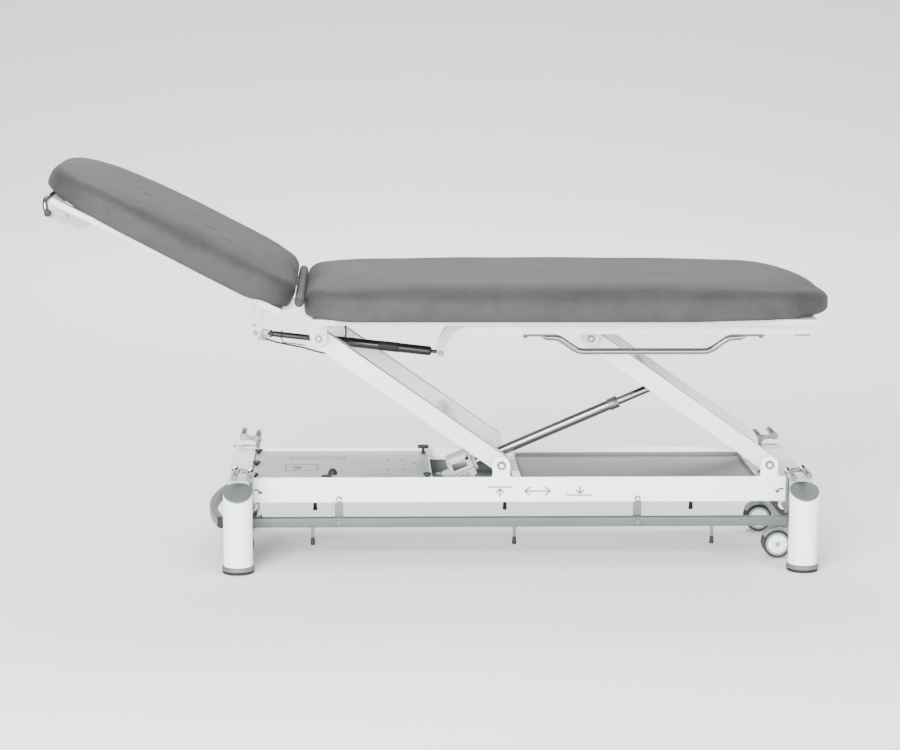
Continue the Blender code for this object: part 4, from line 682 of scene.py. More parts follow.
class TABLE_OT_pads(bpy.types.Operator):
    """The two upholstered pads and the padded roll between them"""
    bl_idname = "table.pads"
    bl_label = "Pads"

    def execute(self, context):
        swell = sizes().swell
        x0, x1, low, high = HEAD_PAD
        cover = pad_shell(x0 - 0.002, x1 + 0.002, low, high, 0.24, 0.12, LESS)
        flat, faces = blown(cover, low, swell)
        # Each crease is its line, its depth and its half width
        creases = (([(-0.4916, -0.1455), (-0.4761, -0.1113), (-0.4573, -0.1392)], 0.0026, 0.0055),
                   ([(-0.3813, -0.0069), (-0.3524, -0.0259), (-0.3333, -0.0616), (-0.3144, -0.139),
                     (-0.2955, -0.1384), (-0.2698, -0.1163)], 0.0028, 0.006),
                   ([(-0.27, -0.2267), (-0.2583, -0.2167), (-0.2378, -0.2015), (-0.225, -0.196)],
                    0.0022, 0.0055),
                   ([(-0.52, -0.16), (-0.5, -0.08), (-0.47, -0.01), (-0.42, 0.03)], 0.0014, 0.012))
        for line, depth, width in creases:
            creased(flat, line, depth, width, high)
        dressed(flat, *HEAD_PAD, (0.014, -0.62, -0.12, -0.06, -0.035), (0.014, -0.54, -0.722))
        head = build("head_cushion", "backrest", [(on_back((flat, faces)), HIDE)], 60,
                     ["head_pad"])
        x0, x1, low, high = MAIN_PAD
        cover = pad_shell(x0 - 0.003, x1 + 0.008, low, high, 0.1, 0.24, LESS)
        level, faces = blown(cover, low, swell)
        creases = (([(-0.44, -0.26), (-0.38, -0.1), (-0.3, 0.02)], 0.001),
                   ([(-0.05, -0.28), (0.0, -0.1), (0.02, 0.1)], 0.0009),
                   ([(0.42, -0.2), (0.46, 0.0), (0.52, 0.18)], 0.0009))
        for line, depth in creases:
            creased(level, line, depth, 0.018, high)
        dressed(level, *MAIN_PAD, (0.009, -0.56, -0.42, 0.4, 0.62), (0.03, 0.6, 0.808))
        main = build("main_cushion", "upper_frame", [((level, faces), HIDE)], 60, ["main_pad"])
        # One roll lies between the pads and is hollowed over the hinge plates
        steps = np.concatenate([[0.0004, 0.0015, 0.0035, 0.006], np.linspace(0.01, 0.63, 180),
                                [0.634, 0.6365, 0.6385, 0.6396]])
        ease = np.clip(np.minimum(steps, 0.64 - steps) / 0.012, 0.03, 1)
        uneven = 1 - 0.02 * np.cos(steps * 90) - 0.015 * np.sin(steps * 210)
        radius = 0.0124 * np.sqrt(1 - (1 - ease) ** 2) * uneven
        roll, around = turned(np.stack([radius, steps], axis=1), (-0.5678, -0.32, 0.7032),
                              (0, 1, 0), 32)
        spoke = roll[:, ::2] - HINGE[::2]
        away = np.linalg.norm(spoke, axis=1)
        clear, plate_y, plate_half = 0.0135, 0.2065, 0.012
        close = (away < clear) & (np.abs(np.abs(roll[:, 1]) - plate_y) < plate_half)
        for k in (0, 1):
            roll[close, 2 * k] = HINGE[2 * k] + spoke[close, k] / away[close] * clear
        filler = build("hinge_roll", "upper_frame", [((roll, around), HIDE)], 60,
                       ["hinge_filler_near", "hinge_filler_middle", "hinge_filler_far"])
        return {"FINISHED"}


# Base

def cap_height(out):
    """Height of a post cap's face: a slope that falls outwards, with a crown in its middle."""
    return 0.225 - 0.033 * out + sizes().dome * 4 * out * (1 - out)


def post_cap(x, y, side):
    """Concentric rings over the slope: a skirt, a rounded rim, then the domed face."""
    r = POST[2]
    angle = np.linspace(0, 2 * np.pi, 56, endpoint=False)
    steps = [(r, -0.004), (r, -0.0012), (r * 0.99, -0.0003), (r * 0.965, 0),
             *[(r * k, 0) for k in (0.85, 0.65, 0.45, 0.25, 0.02)]]
    layers = []
    for radius, drop in steps:
        px, py = radius * np.cos(angle), radius * np.sin(angle)
        level = cap_height((side * py + r) / (2 * r)) + drop
        layers.append(np.stack([x + px, y + py, level], axis=1))
    return rings(np.stack(layers))


def post_foot(at):
    """A flared collar and a white skirt over a rubber disc, each a profile turned about Z."""
    collar = [(0.036, 0.0185), (0.0388, 0.0185), (0.0398, 0.0178), (0.0406, 0.0156),
              (0.0418, 0.012), (0.0424, 0.01), (0.0422, 0.0084), (0.0412, 0.0075), (0.036, 0.0075)]
    skirt = [(0.035, 0.0222), (0.0376, 0.0222), (0.0377, 0.0187), (0.035, 0.0187)]
    disc = solid((0.0396, 0.0074), (0.0404, 0.006), (0.0402, 0.001), (0.0394, 0.0))
    return [(turned(collar, at, sides=64, joined=True), CAP_GREY),
            (turned(skirt, at, sides=64, joined=True), WHITE),
            (turned(disc, at, sides=64), RUBBER)]


class TABLE_OT_base(bpy.types.Operator):
    """Post caps, feet, bolts and the printed arrows of the base"""
    bl_idname = "table.base"
    bl_label = "Base"

    def execute(self, context):
        for end, word in ENDS:
            for side, place_word in SIDES:
                x, y, tag = end * POST[0], side * POST[1], f"{word}_{place_word}"
                build(f"cap_{tag}", "base", [(post_cap(x, y, side), CAP_GREY)], 50,
                      [f"post_cap_{tag}"])
                build(f"foot_{tag}", "base", post_foot((x, y, 0)), 40, [f"post_foot_{tag}"])
        bolts = []
        for side, _ in SIDES:
            for x, z in LOWER:
                bolts.append((bolt_head((x, side * BOLT_SEAT, z), (0, side, 0), 0.0112, 0.0062),
                              ZINC))
            for x in LINKS:
                at = (x, side * BOLT_SEAT, LINK_TOP)
                bolts.append((bolt_head(at, (0, side, 0), 0.0078, 0.0057, 0.55), ZINC))
        build("base_bolts", "base", bolts)
        self.marks()
        finish(("side_rail_near", "side_rail_far", "end_frame_head", "end_frame_foot"), WHITE)
        # Pan and tray take a grey that holds painted shade of the recess as well as the sheet's own
        # grey
        finish(("base_pan", "drive_tray"), PAN_GREY_AND_SHADE)
        finish(("control_box",), CAP_GREY)
        return {"FINISHED"}

    def marks(self):
        """Plain arrows on both rails, and a red turn arrow at each end.

        From the head end they point up to a line, both ways, and down to a line.
        """
        def stroke(points, width, side, material):
            """A flat printed line on a rail."""
            path = np.array([(x, side * (RAIL_FACE + 0.00035), z) for x, z in points])
            w, h = width / 2, 0.0003
            return swept(path, [(-w, -h), (w, -h), (w, h), (-w, h)], (0, 1, 0)), material
        shells = []
        line, arrow, both_ways = 0.003, 0.003 * 1.3, 0.003 * 1.2
        for side, _ in SIDES:
            for centre, up, bar_z, foot_z, tip_z in ((-0.0521, 1, 0.2008, 0.1745, 0.1955),
                                                     (0.1564, -1, 0.1787, 0.203, 0.183)):
                bar = [(centre - 0.033, bar_z + 0.003), (centre - 0.033, bar_z),
                       (centre + 0.031, bar_z)]
                shells.append(stroke(bar, line, side, PRINT))
                tip = (centre, tip_z)
                for tail in ((centre, foot_z), (centre - 0.011, tip_z - up * 0.01),
                             (centre + 0.011, tip_z - up * 0.01)):
                    shells.append(stroke([tail, tip], arrow, side, PRINT))
            left, right, z = 0.0125, 0.079, 0.1898
            shells.append(stroke([(left, z), (right, z)], both_ways, side, PRINT))
            for tip, back in ((left, 1), (right, -1)):
                for rise in (0.011, -0.011):
                    barb = [(tip + back * 0.014, z + rise), (tip, z)]
                    shells.append(stroke(barb, both_ways, side, PRINT))
            for end, _ in ENDS:
                turn = np.radians(np.linspace(95, 20, 12))
                arc_x = end * (0.688 - 0.017 * np.cos(turn))
                arc = np.stack([arc_x, 0.18 + 0.015 * np.sin(turn)], axis=1)
                shells.append(stroke(arc, 0.0042, side, RED_PRINT))
                x, z = arc[-1]
                barbs = [(x + end * 0.006, z + 0.002), (x, z), (x - end * 0.004, z + 0.006)]
                shells.append(stroke(barbs, 0.0036, side, RED_PRINT))
        build("printed_arrows", "base", shells)


class TABLE_OT_cover(bpy.types.Operator):
    """The grey cover plate with its hand screws, black dome, slots and small holes"""
    bl_idname = "table.cover"
    bl_label = "Cover plate"

    def execute(self, context):
        top = 0.2195
        middle, half = (-0.697 - 0.228) / 2, (0.697 - 0.228) / 2
        lip = block(0.0012, 0.172, 0.001, (-0.2293, 0), top - 0.001, top + 0.006, 0.0005, "z", 4)
        shells = [(block(half, 0.182, 0.004, (middle, 0), 0.2033, top, 0.0015, "z"), COVER_GREY),
                  (lip, WHITE)]
        for x, y in ((-0.3, -0.06), (-0.3, 0.06), (-0.34, -0.06), (-0.34, 0.06), (-0.27, 0.02),
                     (-0.64, -0.09), (-0.505, 0.12), (-0.4, 0.13)):
            ring = solid((0.0026, 0.0002), (0.0032, 0.0006), (0.0038, 0.0002), (0.0038, -0.0008))
            shells.append((turned(ring, (x, y, top), sides=20), BLACK if x > -0.35 else ZINC))
        # A plain pressed frame, with a row of short slots beside it
        for k in range(4):
            slot = block(0.0013, 0.018, 0.001, (-0.59 + 0.0058 * k, -0.031), top - 0.0005,
                         top + 0.0006, 0.0002, "z", 4)
            shells.append((slot, BLACK))
        for cx, cy, hx, hy in ((-0.57, -0.031, 0.044, 0.04), (-0.53, 0.09, 0.075, 0.014)):
            outer, inner = rounded(hx, hy, 0.008), rounded(hx - 0.003, hy - 0.003, 0.006)
            low, high = top + 0.0004, top + 0.0008
            layers = [np.hstack([outline + np.array([cx, cy]), np.full((len(outline), 1), z)])
                      for outline, z in ((outer, low), (outer, high), (inner, high), (inner, low))]
            shells.append((rings(np.stack(layers), True), PRINT))
        grip = solid((0.0072, 0.0122), (0.0096, 0.0116), (0.0108, 0.0098), (0.0108, 0.007),
                     (0.0094, 0.0056), (0.006, 0.0048), (0.005, 0.0034), (0.005, -0.0006))
        for x, y in ((-0.69, -0.15), (-0.69, 0.0), (-0.69, 0.15), (-0.24, -0.15)):
            shells.append((turned(grip, (x, y, top), sides=28), BLACK))
        stem = solid((0.0045, 0.015), (0.004, 0.01), (0.0042, 0.004), (0.0062, 0.003),
                     (0.0062, -0.0006))
        shells.append((turned(stem, (-0.242, 0.15, top), sides=24), BLACK))
        bar = block(0.015, 0.0065, 0.0062, (-0.242, 0.15), top + 0.014, top + 0.0235, 0.003, "z")
        shells.append((bar, BLACK))
        turn = np.radians(np.linspace(89, 0, 12))
        dome = [*np.stack([0.0122 * np.cos(turn), 0.0155 * np.sin(turn)], axis=1), (0.0128, 0.0),
                (0.0128, -0.0006), (AXIS, -0.0006)]
        shells.append((turned(dome, (-0.487, -0.11, top), sides=36), BLACK))
        plate = block(0.0125, 0.007, 0.002, (-0.503, -0.15), top - 0.0005, top + 0.0062, 0.001,
                      "z")
        shells.append((plate, BLACK))
        build("cover_with_screws", "base", shells, nodes=["cover_plate"])
        return {"FINISHED"}


class TABLE_OT_lift(bpy.types.Operator):
    """Lift arms' and upper frame's white, darker by painted shade, and the heads of the upper pivot
    bolts
    """
    bl_idname = "table.lift"
    bl_label = "Lift"

    def execute(self, context):
        # The arms take the white darkened by painted shade
        finish(("head_lift_arms", "foot_lift_arms"), ARM_WHITE_PAINTED_SHADE)
        # The frame under the pads takes the white darkened by a painted shadow of the pads
        finish(("main_frame", "side_box_near", "side_box_far", "spring_bracket", "head_frame",
                "spring_lever"), FRAME_WHITE_PAINTED_SHADOW)
        heads = []
        for side, _ in SIDES:
            for x, z in UPPER:
                at = (x, side * BOLT_SEAT, z)
                heads.append((bolt_head(at, (0, side, 0), 0.0092, 0.006), ZINC))
        build("upper_pivot_bolts", "upper_frame", heads)
        return {"FINISHED"}


# Actuator, drawn along +X from its tail pin

class TABLE_OT_actuator(bpy.types.Operator):
    """Motor housing, tail eye, guide tube and thrust tube"""
    bl_idname = "table.actuator"
    bl_label = "Actuator"

    def execute(self, context):
        ahead = (1, 0, 0)
        case = block(0.0325, 0.035, 0.008, (0.0675, 0.005), -0.0355, 0.0355, 0.0035)
        neck = block(0.0125, 0.0095, 0.004, (0.024, 0), -0.0108, 0.0108, 0.002)
        eye = [(0.0056, -0.0108), (0.0105, -0.0108), (0.0115, -0.0098), (0.0115, 0.0098),
               (0.0105, 0.0108), (0.0056, 0.0108)]
        tail = turned(eye, (0, 0, 0), (0, 1, 0), 36, True)
        shells = [(shell, MOTOR_GREY) for shell in (case, neck, tail)]
        # A split line runs round it; both faces have a blank plate, screws, fins and a plug
        split = block(0.0329, 0.0012, 0.0008, (0.0675, -0.004), -0.0359, 0.0359, 0.0003, steps=4)
        shells.append((split, CAP_GREY))
        for face in (-1, 1):
            low, high = sorted((face * 0.0354, face * 0.0366))
            shells.append((block(0.02, 0.01, 0.002, (0.066, 0.016), low, high, 0.0004), ZINC))
            for dx in (-0.027, 0.027):
                for dz in (-0.026, 0.033):
                    at = (0.0675 + dx, face * 0.0352, dz)
                    shells.append((bolt_head(at, (0, face, 0), 0.0028, 0.0016), ZINC))
            for k in range(5):
                fin = block(0.0014, 0.0075, 0.001, (0.052 + 0.007 * k, -0.016), low, high, 0.0003,
                            steps=4)
                shells.append((fin, CAP_GREY))
            shells.append((turned(solid((0.005, 0), (0.005, 0.0012), (0.0042, 0.002)),
                                  (0.091, face * 0.0352, 0.026), (0, face, 0), 24), BLACK))
        nose = [(0.014, 0.0), (0.0205, 0.0), (0.0205, 0.006), (0.0185, 0.01), (0.014, 0.01)]
        shells.append((turned(nose, (0.0985, 0, 0), ahead, 40, True), MOTOR_GREY))
        length = 0.4197
        tube = [(0.0114, 0.0), (0.0135, 0.0), (0.0135, length - 0.028), (0.0139, length - 0.027),
                (0.0158, length - 0.0265), (0.0165, length - 0.0258), (0.0165, length - 0.0215),
                (0.016, length - 0.021), (0.016, length - 0.0195), (0.0165, length - 0.019),
                (0.0165, length - 0.002), (0.0156, length), (0.0114, length)]
        guide = turned(tube, (0.1003, 0, 0), ahead, 48, True)
        # A flat rib runs along the guide tube
        rib = block(0.185, 0.0022, 0.001, (0.3, 0), -0.0146, -0.0128, 0.0004, steps=4)
        shells += [(guide, TUBE), (rib, TUBE)]
        housing = [(on_actuator(shell), material) for shell, material in shells]
        build("actuator_housing", "actuator", housing, nodes=["actuator_motor", "actuator_tube"])
        reach = ROD_LENGTH - 0.35
        thrust = solid((0.0103, 0.0), (0.0105, 0.002), (0.0105, reach - 0.026),
                       (0.0118, reach - 0.025), (0.0118, reach - 0.018), (0.009, reach - 0.014))
        eye = [(0.0062, -0.0108), (0.015, -0.0108), (0.016, -0.0098), (0.016, 0.0098),
               (0.015, 0.0108), (0.0062, 0.0108)]
        parts = [(on_actuator(turned(thrust, (0.35, 0, 0), ahead, 40)), CHROME),
                 (on_actuator(turned(eye, (ROD_LENGTH, 0, 0), (0, 1, 0), 36, True)), ZINC)]
        build("thrust_tube", "actuator_thrust", parts, nodes=["actuator_rod"])
        # Two leads from the motor's lower corner to the control unit
        for k, drop in enumerate((0.0, 0.008)):
            route = smooth([(-0.152, -0.022 - drop, 0.19), (-0.17, -0.03 - drop, 0.18),
                            (-0.205, -0.046 - drop, 0.1725), (-0.26, -0.04, 0.1715 + drop * 0.3),
                            (-0.32, -0.045 + 0.045 * k, 0.178),
                            (-0.366, -0.045 + 0.045 * k, 0.182)], 8)
            lead = swept(route, circle(CABLE, 12), (0, 0.3, 1))
            build(f"motor_lead_{k}", "base", [(lead, RUBBER)])
        return {"FINISHED"}


# Gas spring

def behind(distance, up=0.0):
    """A point on or beside the spring's axis, from its fixed pin towards the backrest."""
    c, s = np.cos(SPRING_TILT), np.sin(SPRING_TILT)
    return SPRING + np.array([-distance * c + up * s, 0.0, distance * s + up * c])


class TABLE_OT_spring(bpy.types.Operator):
    """Gas spring, its release head and cable, and the hand lever"""
    bl_idname = "table.spring"
    bl_label = "Gas spring"

    def execute(self, context):
        back = (-1, 0, 0)
        r = 0.0125
        tube = [(0.0084, 0.288), (0.0094, 0.288), (0.0104, 0.2872), (0.0114, 0.285), (r, 0.2815),
                (r, 0.264), (0.012, 0.2632), (0.012, 0.2618), (r, 0.261), (r, 0.009),
                (0.0118, 0.005), (0.0085, 0.0016), (0.005, 0.0006), (0.0046, -0.014),
                (AXIS, -0.014), (AXIS, 0.03), (0.0084, 0.03)]
        cylinder = turned(tube, (-0.022, 0, 0), back, 44, True)
        eye = [(0.0045, -0.0105), (0.008, -0.0105), (0.0086, -0.0098), (0.0086, 0.0098),
               (0.008, 0.0105), (0.0045, 0.0105)]
        band = turned([(0.0126, 0), (0.0129, 0.0004), (0.0129, 0.055), (0.0126, 0.0554)],
                      (-0.11, 0, 0), back, 44, True)
        fixed_eye = turned(eye, (0, 0, 0), (0, 1, 0), 30, True)
        parts = [(on_spring(cylinder), ENAMEL), (on_spring(fixed_eye), ZINC),
                 (on_spring(band), BLACK)]
        build("spring_cylinder_dressed", "spring_cylinder", parts, nodes=["gas_cylinder"])
        end = SPRING_LENGTH
        rod = solid((0.0074, 0.0), (0.0078, 0.001), (0.0078, end - 0.216), (0.0052, end - 0.214),
                    (0.005, end - 0.196))
        collar = [(0.0079, 0), (0.0102, 0), (0.0108, 0.0006), (0.0108, 0.0026), (0.0102, 0.0032),
                  (0.0079, 0.0032)]
        head = block(0.011, 0.0088, 0.003, (-(end - 0.023), 0), -0.0088, 0.0088, 0.0016)
        tongue = block(0.011, 0.0058, 0.0055, (-(end - 0.005), 0), -0.0048, 0.0048, 0.0012)
        stem = block(0.004, 0.0045, 0.001, (-(end - 0.022), -0.012), -0.0038, 0.0038, 0.0006,
                     steps=4)
        barrel = [(0.0014, 0), (0.0036, 0), (0.004, 0.0006), (0.004, 0.01), (0.0033, 0.0106),
                  (0.0033, 0.014), (0.004, 0.0146), (0.004, 0.025), (0.0036, 0.0256),
                  (0.0014, 0.0256)]
        barrel = turned(barrel, (-(end - 0.034), 0, -0.016), back, 24, True)
        nut = [(0.0052, 0), (0.0096, 0), (0.0102, 0.0006), (0.0102, 0.006), (0.0096, 0.0066),
               (0.0052, 0.0066)]
        nut = turned(nut, (-(end - 0.044), 0, 0), back, 6, True)
        # A black wire clip runs from the collar to the cable's barrel, under the rod
        wire = smooth([behind(end - 0.0715, -0.0098), behind(end - 0.072, -0.017),
                       behind(end - 0.078, -0.0196), behind(end - 0.105, -0.0202),
                       behind(end - 0.135, -0.0215)], 6)
        clip = swept(wire, circle(0.0014, 10))
        parts = [(on_spring(turned(rod, (-0.17, 0, 0), back, 32)), ENAMEL), (clip, BLACK),
                 (on_spring(turned(collar, (-(end - 0.07), 0, 0), back, 32, True)), BLACK),
                 (on_spring(head), CHROME), (on_spring(tongue), ZINC), (on_spring(stem), ZINC),
                 (on_spring(barrel), CHROME), (on_spring(nut), BLACK)]
        build("spring_rod_dressed", "spring_rod", parts, nodes=["gas_rod"])
        start = behind(SPRING_LENGTH - 0.033, -0.016)
        route = smooth([start, (start[0] + 0.03, 0.004, start[2] - 0.01), (-0.57, 0.014, 0.536),
                        (-0.5, 0.028, 0.517), (-0.462, 0.044, 0.535), (-0.452, 0.06, 0.572),
                        (-0.462, 0.08, 0.604), (-0.462, 0.11, 0.622), (-0.445, 0.16, 0.628),
                        (-0.42, 0.19, 0.632), (-0.4, 0.2055, 0.6345)], 10)
        split = 30
        lower = swept(route[:split + 1], circle(CABLE, 14), (0, 0.2, 1))
        upper = swept(route[split:], circle(CABLE, 14), (0.6, 0.2, 1))
        lower = build("release_cable_lower", None, [(lower, RUBBER)])
        upper = build("release_cable_upper", None, [(upper, RUBBER)], nodes=["release_cable"])
        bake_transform(lower)
        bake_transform(upper)
        pins = [(bolt_head((SPRING[0], side * 0.019, SPRING[2]), (0, side, 0), 0.0066, 0.0044),
                 ZINC) for side, _ in SIDES]
        build("spring_pin_heads", "upper_frame", pins)
        far_pin = behind(SPRING_LENGTH)
        pins = [(bolt_head((far_pin[0], side * 0.0195, far_pin[2]), (0, side, 0), 0.006, 0.004),
                 ZINC) for side, _ in SIDES]
        build("lever_pin_heads", "backrest", pins)
        finish(("release_lever",), BLACK)
        return {"FINISHED"}


class TABLE_OT_grips(bpy.types.Operator):
    """The chrome side grips with flattened, screwed ends"""
    bl_idname = "table.grips"
    bl_label = "Side grips"

    def execute(self, context):
        # The bar's ends lie flat under the side box; between them it hangs lower
        top, sink, drop, span = 0.6151, 0.0082, 0.036, 0.612
        screw = [(AXIS, 0.01), (0.0035, 0.0097), (0.0058, 0.008), (0.0064, 0.0052), (AXIS, 0.0052)]
        for side, word in SIDES:
            y = side * 0.262
            axis, low = top - sink, top - sink - drop
            half = ((-0.002, axis), (0.04, axis), (0.072, axis), (0.086, axis - 0.0015),
                    (0.1, axis - 0.009), (0.126, low + 0.009), (0.142, low + 0.0015), (0.158, low),
                    (0.2, low))
            left = smooth([(x, y, z) for x, z in half], 6)
            right = left[::-1].copy()
            right[:, 0] = span - left[::-1][:, 0]
            middle = np.linspace(left[-1], right[0], 12)[1:-1]
            path = np.vstack([left, middle, right])
            # The section goes from a flat tab at each end to a round bar, 40 to 62 mm along
            reach = np.minimum(path[:, 0] + 0.002, span + 0.002 - path[:, 0])
            ease = np.clip((reach - 0.04) / 0.022, 0, 1)
            ease = (ease * ease * (3 - 2 * ease))[:, None]
            angle = np.linspace(0, 2 * np.pi, 24, endpoint=False)[None]
            wide = 0.0105 * (1 - ease) + 0.008 * ease
            tall = 0.0026 * (1 - ease) + 0.008 * ease
            run = np.gradient(path, axis=0)
            run /= np.linalg.norm(run, axis=1, keepdims=True)
            lift = np.stack([-run[:, 2], np.zeros(len(run)), run[:, 0]], axis=1)
            centre = path.copy()
            centre[:, 2] += (sink - 0.0028) * (1 - ease[:, 0])
            points = centre[:, None] + (tall * np.sin(angle))[..., None] * lift[:, None]
            points[..., 1] += wide * np.cos(angle)
            shells = [(rings(points), CHROME)]
            for x in (0.004, 0.606):
                shells.append((turned(screw, (x, y, top), (0, 0, -1), 24), ZINC))
            # A short bare lug under the side box's foot end
            lug = block(0.0195, 0.0022, 0.001, (0.712, 0.613), y - 0.004, y + 0.004, 0.0005,
                        steps=4)
            shells.append((lug, ZINC))
            build(f"side_grip_{word}", "upper_frame", shells, 50, [f"grip_rail_{word}"])
        return {"FINISHED"}


# Foot bar

class TABLE_OT_foot_bar(bpy.types.Operator):
    """The U-shaped foot bar, its dark corner joints, the toe pegs and the swing links"""
    bl_idname = "table.foot_bar"
    bl_label = "Foot bar"

    def execute(self, context):
        y, half_w, half_h, z = 0.194, 0.01, 0.0125, FOOT_BAR_Z
        section = rounded(half_w, half_h, 0.003, 5)
        shells = []
        for side in (-1, 1):
            path = np.array([(x, side * y, z) for x in np.linspace(-0.768, 0.7, 12)])
            shells.append((swept(path, section, (0, 0, 1)), BAR_GREY))
            # A dark mitred block joins leg and bow
            mitre = [(-0.766, y + 0.0108), (-0.766, y - 0.0108), (-0.7725, y - 0.0112),
                     (-0.786, y - 0.004), (-0.778, y + 0.0108)]
            corner = np.array([(px, side * py) for px, py in mitre])
            corner = slab(corner, z - half_h - 0.0008, z + half_h + 0.0008, 0.0014, "z")
            plug = np.array([(x, side * y, z) for x in (0.6985, 0.7005, 0.702)])
            plug = swept(plug, rounded(half_w - 0.001, half_h - 0.001, 0.002, 5), (0, 0, 1))
            shells += [(corner, BLACK), (plug, BLACK)]
            for x in LINKS:
                at = (x, side * (y + half_w - 0.0002), z)
                shells.append((bolt_head(at, (0, side, 0), 0.0074, 0.004, 0.6), ZINC))
        # The bow is an arc of a circle from leg to leg
        sag = 0.0296
        big = (y * y + sag * sag) / (2 * sag)
        turn = np.linspace(-1, 1, 60) * np.arcsin((y - 0.004) / big)
        bow = np.stack([-0.775 - sag + big - big * np.cos(turn), big * np.sin(turn),
                        np.full(60, z)], axis=1)
        shells.append((swept(bow, section, (0, 0, 1)), BAR_GREY))
        tip = solid((0.0044, 0.0205), (0.005, 0.0198), (0.0052, 0.01), (0.006, 0.0088),
                    (0.006, 0.001), (0.0052, 0.0))
        stem = solid((0.004, 0.0202), (0.004, 0.045), (0.0066, 0.0452), (0.0066, 0.0482))
        for x in (-0.538, -0.014, 0.503):
            for side, _ in SIDES:
                at = (x, side * y, 0.05)
                shells += [(turned(tip, at, sides=28), RUBBER),
                           (turned(stem, at, sides=24), CHROME)]
        build("foot_bar_dressed", "foot_bar", shells, nodes=["foot_bar"])
        finish([f"swing_link_{word}_{side}" for _, word in ENDS for _, side in SIDES], ZINC)
        return {"FINISHED"}


# Castors, carriers and pedals

def wheel(at, out):
    """One dished wheel turned round its axle: tyre, rim, domed disc and hub."""
    tyre = [(0.0305, 0.0008), (0.0335, 0.0), (0.0362, 0.0016), (0.0374, 0.0048), (0.0375, 0.009),
            (0.0374, 0.013), (0.0362, 0.0158), (0.0338, 0.0172), (0.0318, 0.0168), (0.0305, 0.015)]
    rim = [(0.004, 0.001), (0.0306, 0.001), (0.0306, 0.0152), (0.0296, 0.0166), (0.0272, 0.0168),
           (0.0262, 0.0158), (0.004, 0.015)]
    turn = np.radians(np.linspace(88, 0, 9))
    disc = [(0.026 * np.cos(a), 0.015 + 0.0022 * np.sin(a)) for a in turn]
    disc += [(0.026, 0.012), (AXIS, 0.012)]
    hub = [(AXIS, 0.0188), (0.0052, 0.0186), (0.0066, 0.018), (0.007, 0.0168), (AXIS, 0.0168)]
    axis = (0, out, 0)
    return [(turned(tyre, at, axis, 72, True), TYRE), (turned(rim, at, axis, 72, True),
                                                       CASTOR_GREY),
            (turned(disc, at, axis, 64), CASTOR_WHITE), (turned(hub, at, axis, 32), CASTOR_GREY)]


def castor_body(x, axle):
    """A web between the wheels, a hood that is an arc over them, and a neck under the carrier."""
    centre, y, height = axle
    turn = np.radians(np.linspace(150, 22, 18))
    arcs = [np.stack([centre + r * np.cos(a), height + r * np.sin(a)], axis=1)
            for r, a in ((0.0405, turn), (0.0385, turn[::-1]))]
    web = [(centre - 0.012, 0.028), (centre - 0.016, 0.04), (centre - 0.01, 0.06),
           (centre - 0.008, 0.074), (x - 0.014, 0.0855), (x + 0.0115, 0.0855), (x + 0.0115, 0.066),
           (centre + 0.014, 0.04), (centre + 0.008, 0.028)]
    neck = solid((0.0128, 0.0), (0.0134, 0.002), (0.0134, 0.01), (0.0118, 0.0122),
                 (0.0118, 0.0148))
    stem = solid((0.0058, 0), (0.006, 0.026), (0.0052, 0.028))
    return [(slab(np.vstack(arcs), y - 0.0225, y + 0.0225, 0.0006), CASTOR_GREY),
            (slab(web, y - 0.0058, y + 0.0058, 0.0015), CASTOR_GREY),
            (turned(neck, (x, y, 0.0828), sides=36), ZINC),
            (turned(stem, (x, y, 0.097), sides=24), ZINC)]


class TABLE_OT_castors(bpy.types.Operator):
    """Twin-wheel castors: forks, dished wheels and tyres"""
    bl_idname = "table.castors"
    bl_label = "Castors"

    def execute(self, context):
        for end, word in ENDS:
            for side, place_word in SIDES:
                x, y, tag = end * 0.706, side * 0.146, f"{word}_{place_word}"
                axle = (x - 0.024, y, 0.0401)
                build(f"castor_body_{tag}", f"castor_{tag}", castor_body(x, axle),
                      nodes=[f"castor_fork_{tag}"])
                wheels = []
                for out in (-1, 1):
                    wheels += wheel((axle[0], y + out * 0.0072, axle[2]), out)
                pin = solid((0.0039, -0.01), (0.0039, 0.01))
                wheels.append((turned(pin, axle, (0, 1, 0), 20), ZINC))
                build(f"wheel_pair_{tag}", f"wheels_{tag}", wheels, nodes=[f"castor_wheels_{tag}"])
        finish(("castor_carrier_head", "castor_carrier_foot"), ZINC)
        return {"FINISHED"}


